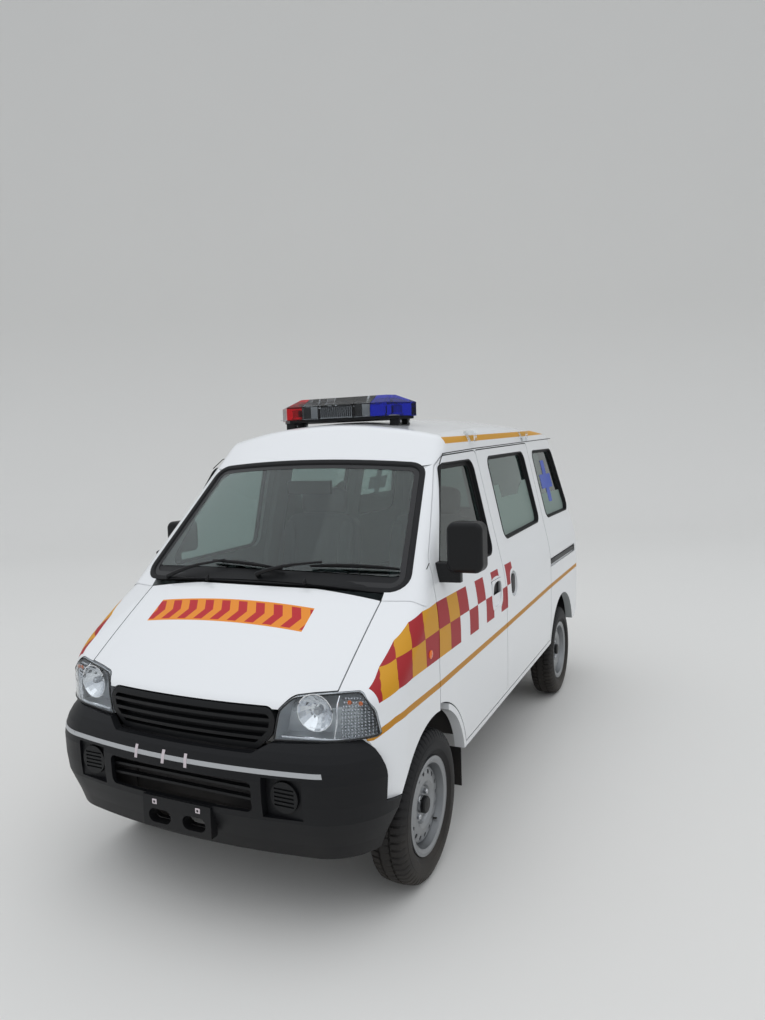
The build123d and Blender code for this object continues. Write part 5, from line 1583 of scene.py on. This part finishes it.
# %% Dashboard fittings
SLAT_COUNT, SLAT_STEP = 6, 0.009
slat = block((-0.055, -0.003, -0.0012), (0.055, 0.003, 0.0012))
slats = []
for x in (-0.07, 0.07, -0.56, 0.56):
    vent = row_of(slat, "trim", SLAT_COUNT, (0, 0, SLAT_STEP))
    slats.append(moved(vent, Matrix.Translation((x, -0.905, 0.945))))
solid("dash_vents", slats, "trim")
DIALS_X, DIAL_APART = -0.34, 0.05
dial_ring = [(0.0, 0.0), (0.0, 0.036), (0.003, 0.036), (0.003, 0.032), (0.001, 0.031), (0.001, 0.0)]
dials = [lathe(dial_ring, (DIALS_X + step, -0.921, 1.066), (0, 0.97, 0.25), 32)
         for step in (-DIAL_APART, DIAL_APART)]
solid("dials", dials, "lamp_black")
print("vents", len(slats), "and dials", len(dials))

# %% [markdown]
# The stage is a pale floor that curves up into a backdrop far behind, as in a studio. A flat floor would
# end in a hard horizon. The sheet is turned to face the camera.

# %% Stage floor
STAGE_FRONT, STAGE_BACK, STAGE_HALF, BACKDROP_TOP = -14.0, 9.0, 30.0, 16.0
SWEEP, SWEEP_STEPS = 5, 12


def make_stage():
    """The floor and backdrop in one sheet."""
    material = make_finish("stage_floor", rgb(224, 223, 220), 0.9, grain=(40.0, 0.0005, 0.2),
                           tone=(0.4, 0.03))
    profile = [(STAGE_FRONT, 0.0), (STAGE_BACK, 0.0)]
    for step in range(1, SWEEP_STEPS + 1):
        angle = step * math.pi / (2 * SWEEP_STEPS)
        profile.append((STAGE_BACK + SWEEP * math.sin(angle), SWEEP - SWEEP * math.cos(angle)))
    profile.append((STAGE_BACK + SWEEP, BACKDROP_TOP))
    rings = [[Vector((x, along, up)) for along, up in profile] for x in (-STAGE_HALF, STAGE_HALF)]
    points, faces = skin(rings, closed=False)
    mesh = bpy.data.meshes.new("stage_floor")
    turned = Matrix.Rotation(heading, 4, "Z")
    mesh.from_pydata([tuple(turned @ point) for point in points], [], faces)
    mesh.shade_smooth()
    mesh.materials.append(material)
    floor = bpy.data.objects.new("stage_floor", mesh)
    scene.collection.objects.link(floor)
    return floor


floor = make_stage()
print("stage points", len(floor.data.vertices))

# %% [markdown]
# An overcast sky lights the vehicle from all over, brighter above than at the horizon, and one very large
# soft lamp stands for the brightest part of the cloud. A small lamp would give hard shadows, which a
# cloudy day has not. The lamp is hidden from reflections, because paint would show it as a square.

# %% Light
CLOUD_PLACE, CLOUD_TILT, CLOUD_SIZE, CLOUD_POWER = (1.5, -3.0, 8.0), math.radians(22), 9.0, 110.0
SKY_LOW, SKY_HIGH, SKY_COLOUR = 0.50, 1.05, (0.93, 0.96, 1.0, 1.0)
lamp_data = bpy.data.lights.new("cloud_light", "AREA")
lamp_data.shape, lamp_data.size, lamp_data.size_y = "RECTANGLE", CLOUD_SIZE, CLOUD_SIZE
lamp_data.energy, lamp_data.color = CLOUD_POWER, (1.0, 0.985, 0.96)
lamp = bpy.data.objects.new("cloud_light", lamp_data)
lamp.matrix_world = Matrix.Translation(CLOUD_PLACE) @ Matrix.Rotation(CLOUD_TILT, 4, "X")
lamp.visible_glossy = False
scene.collection.objects.link(lamp)
world = bpy.data.worlds.new("overcast_sky")
world.use_nodes = True
scene.world = world
tree = world.node_tree
background = tree.nodes["Background"]
direction = put(tree, "ShaderNodeTexCoord").outputs["Generated"]
height = put(tree, "ShaderNodeSeparateXYZ", {0: direction}).outputs[2]
share = put(tree, "ShaderNodeMapRange", {"Value": height, "From Min": 0.0, "From Max": 0.9,
                                         "To Min": SKY_LOW, "To Max": SKY_HIGH}).outputs[0]
tree.links.new(share, background.inputs["Strength"])
background.inputs["Color"].default_value = SKY_COLOUR
print("lamp's power", lamp_data.energy)
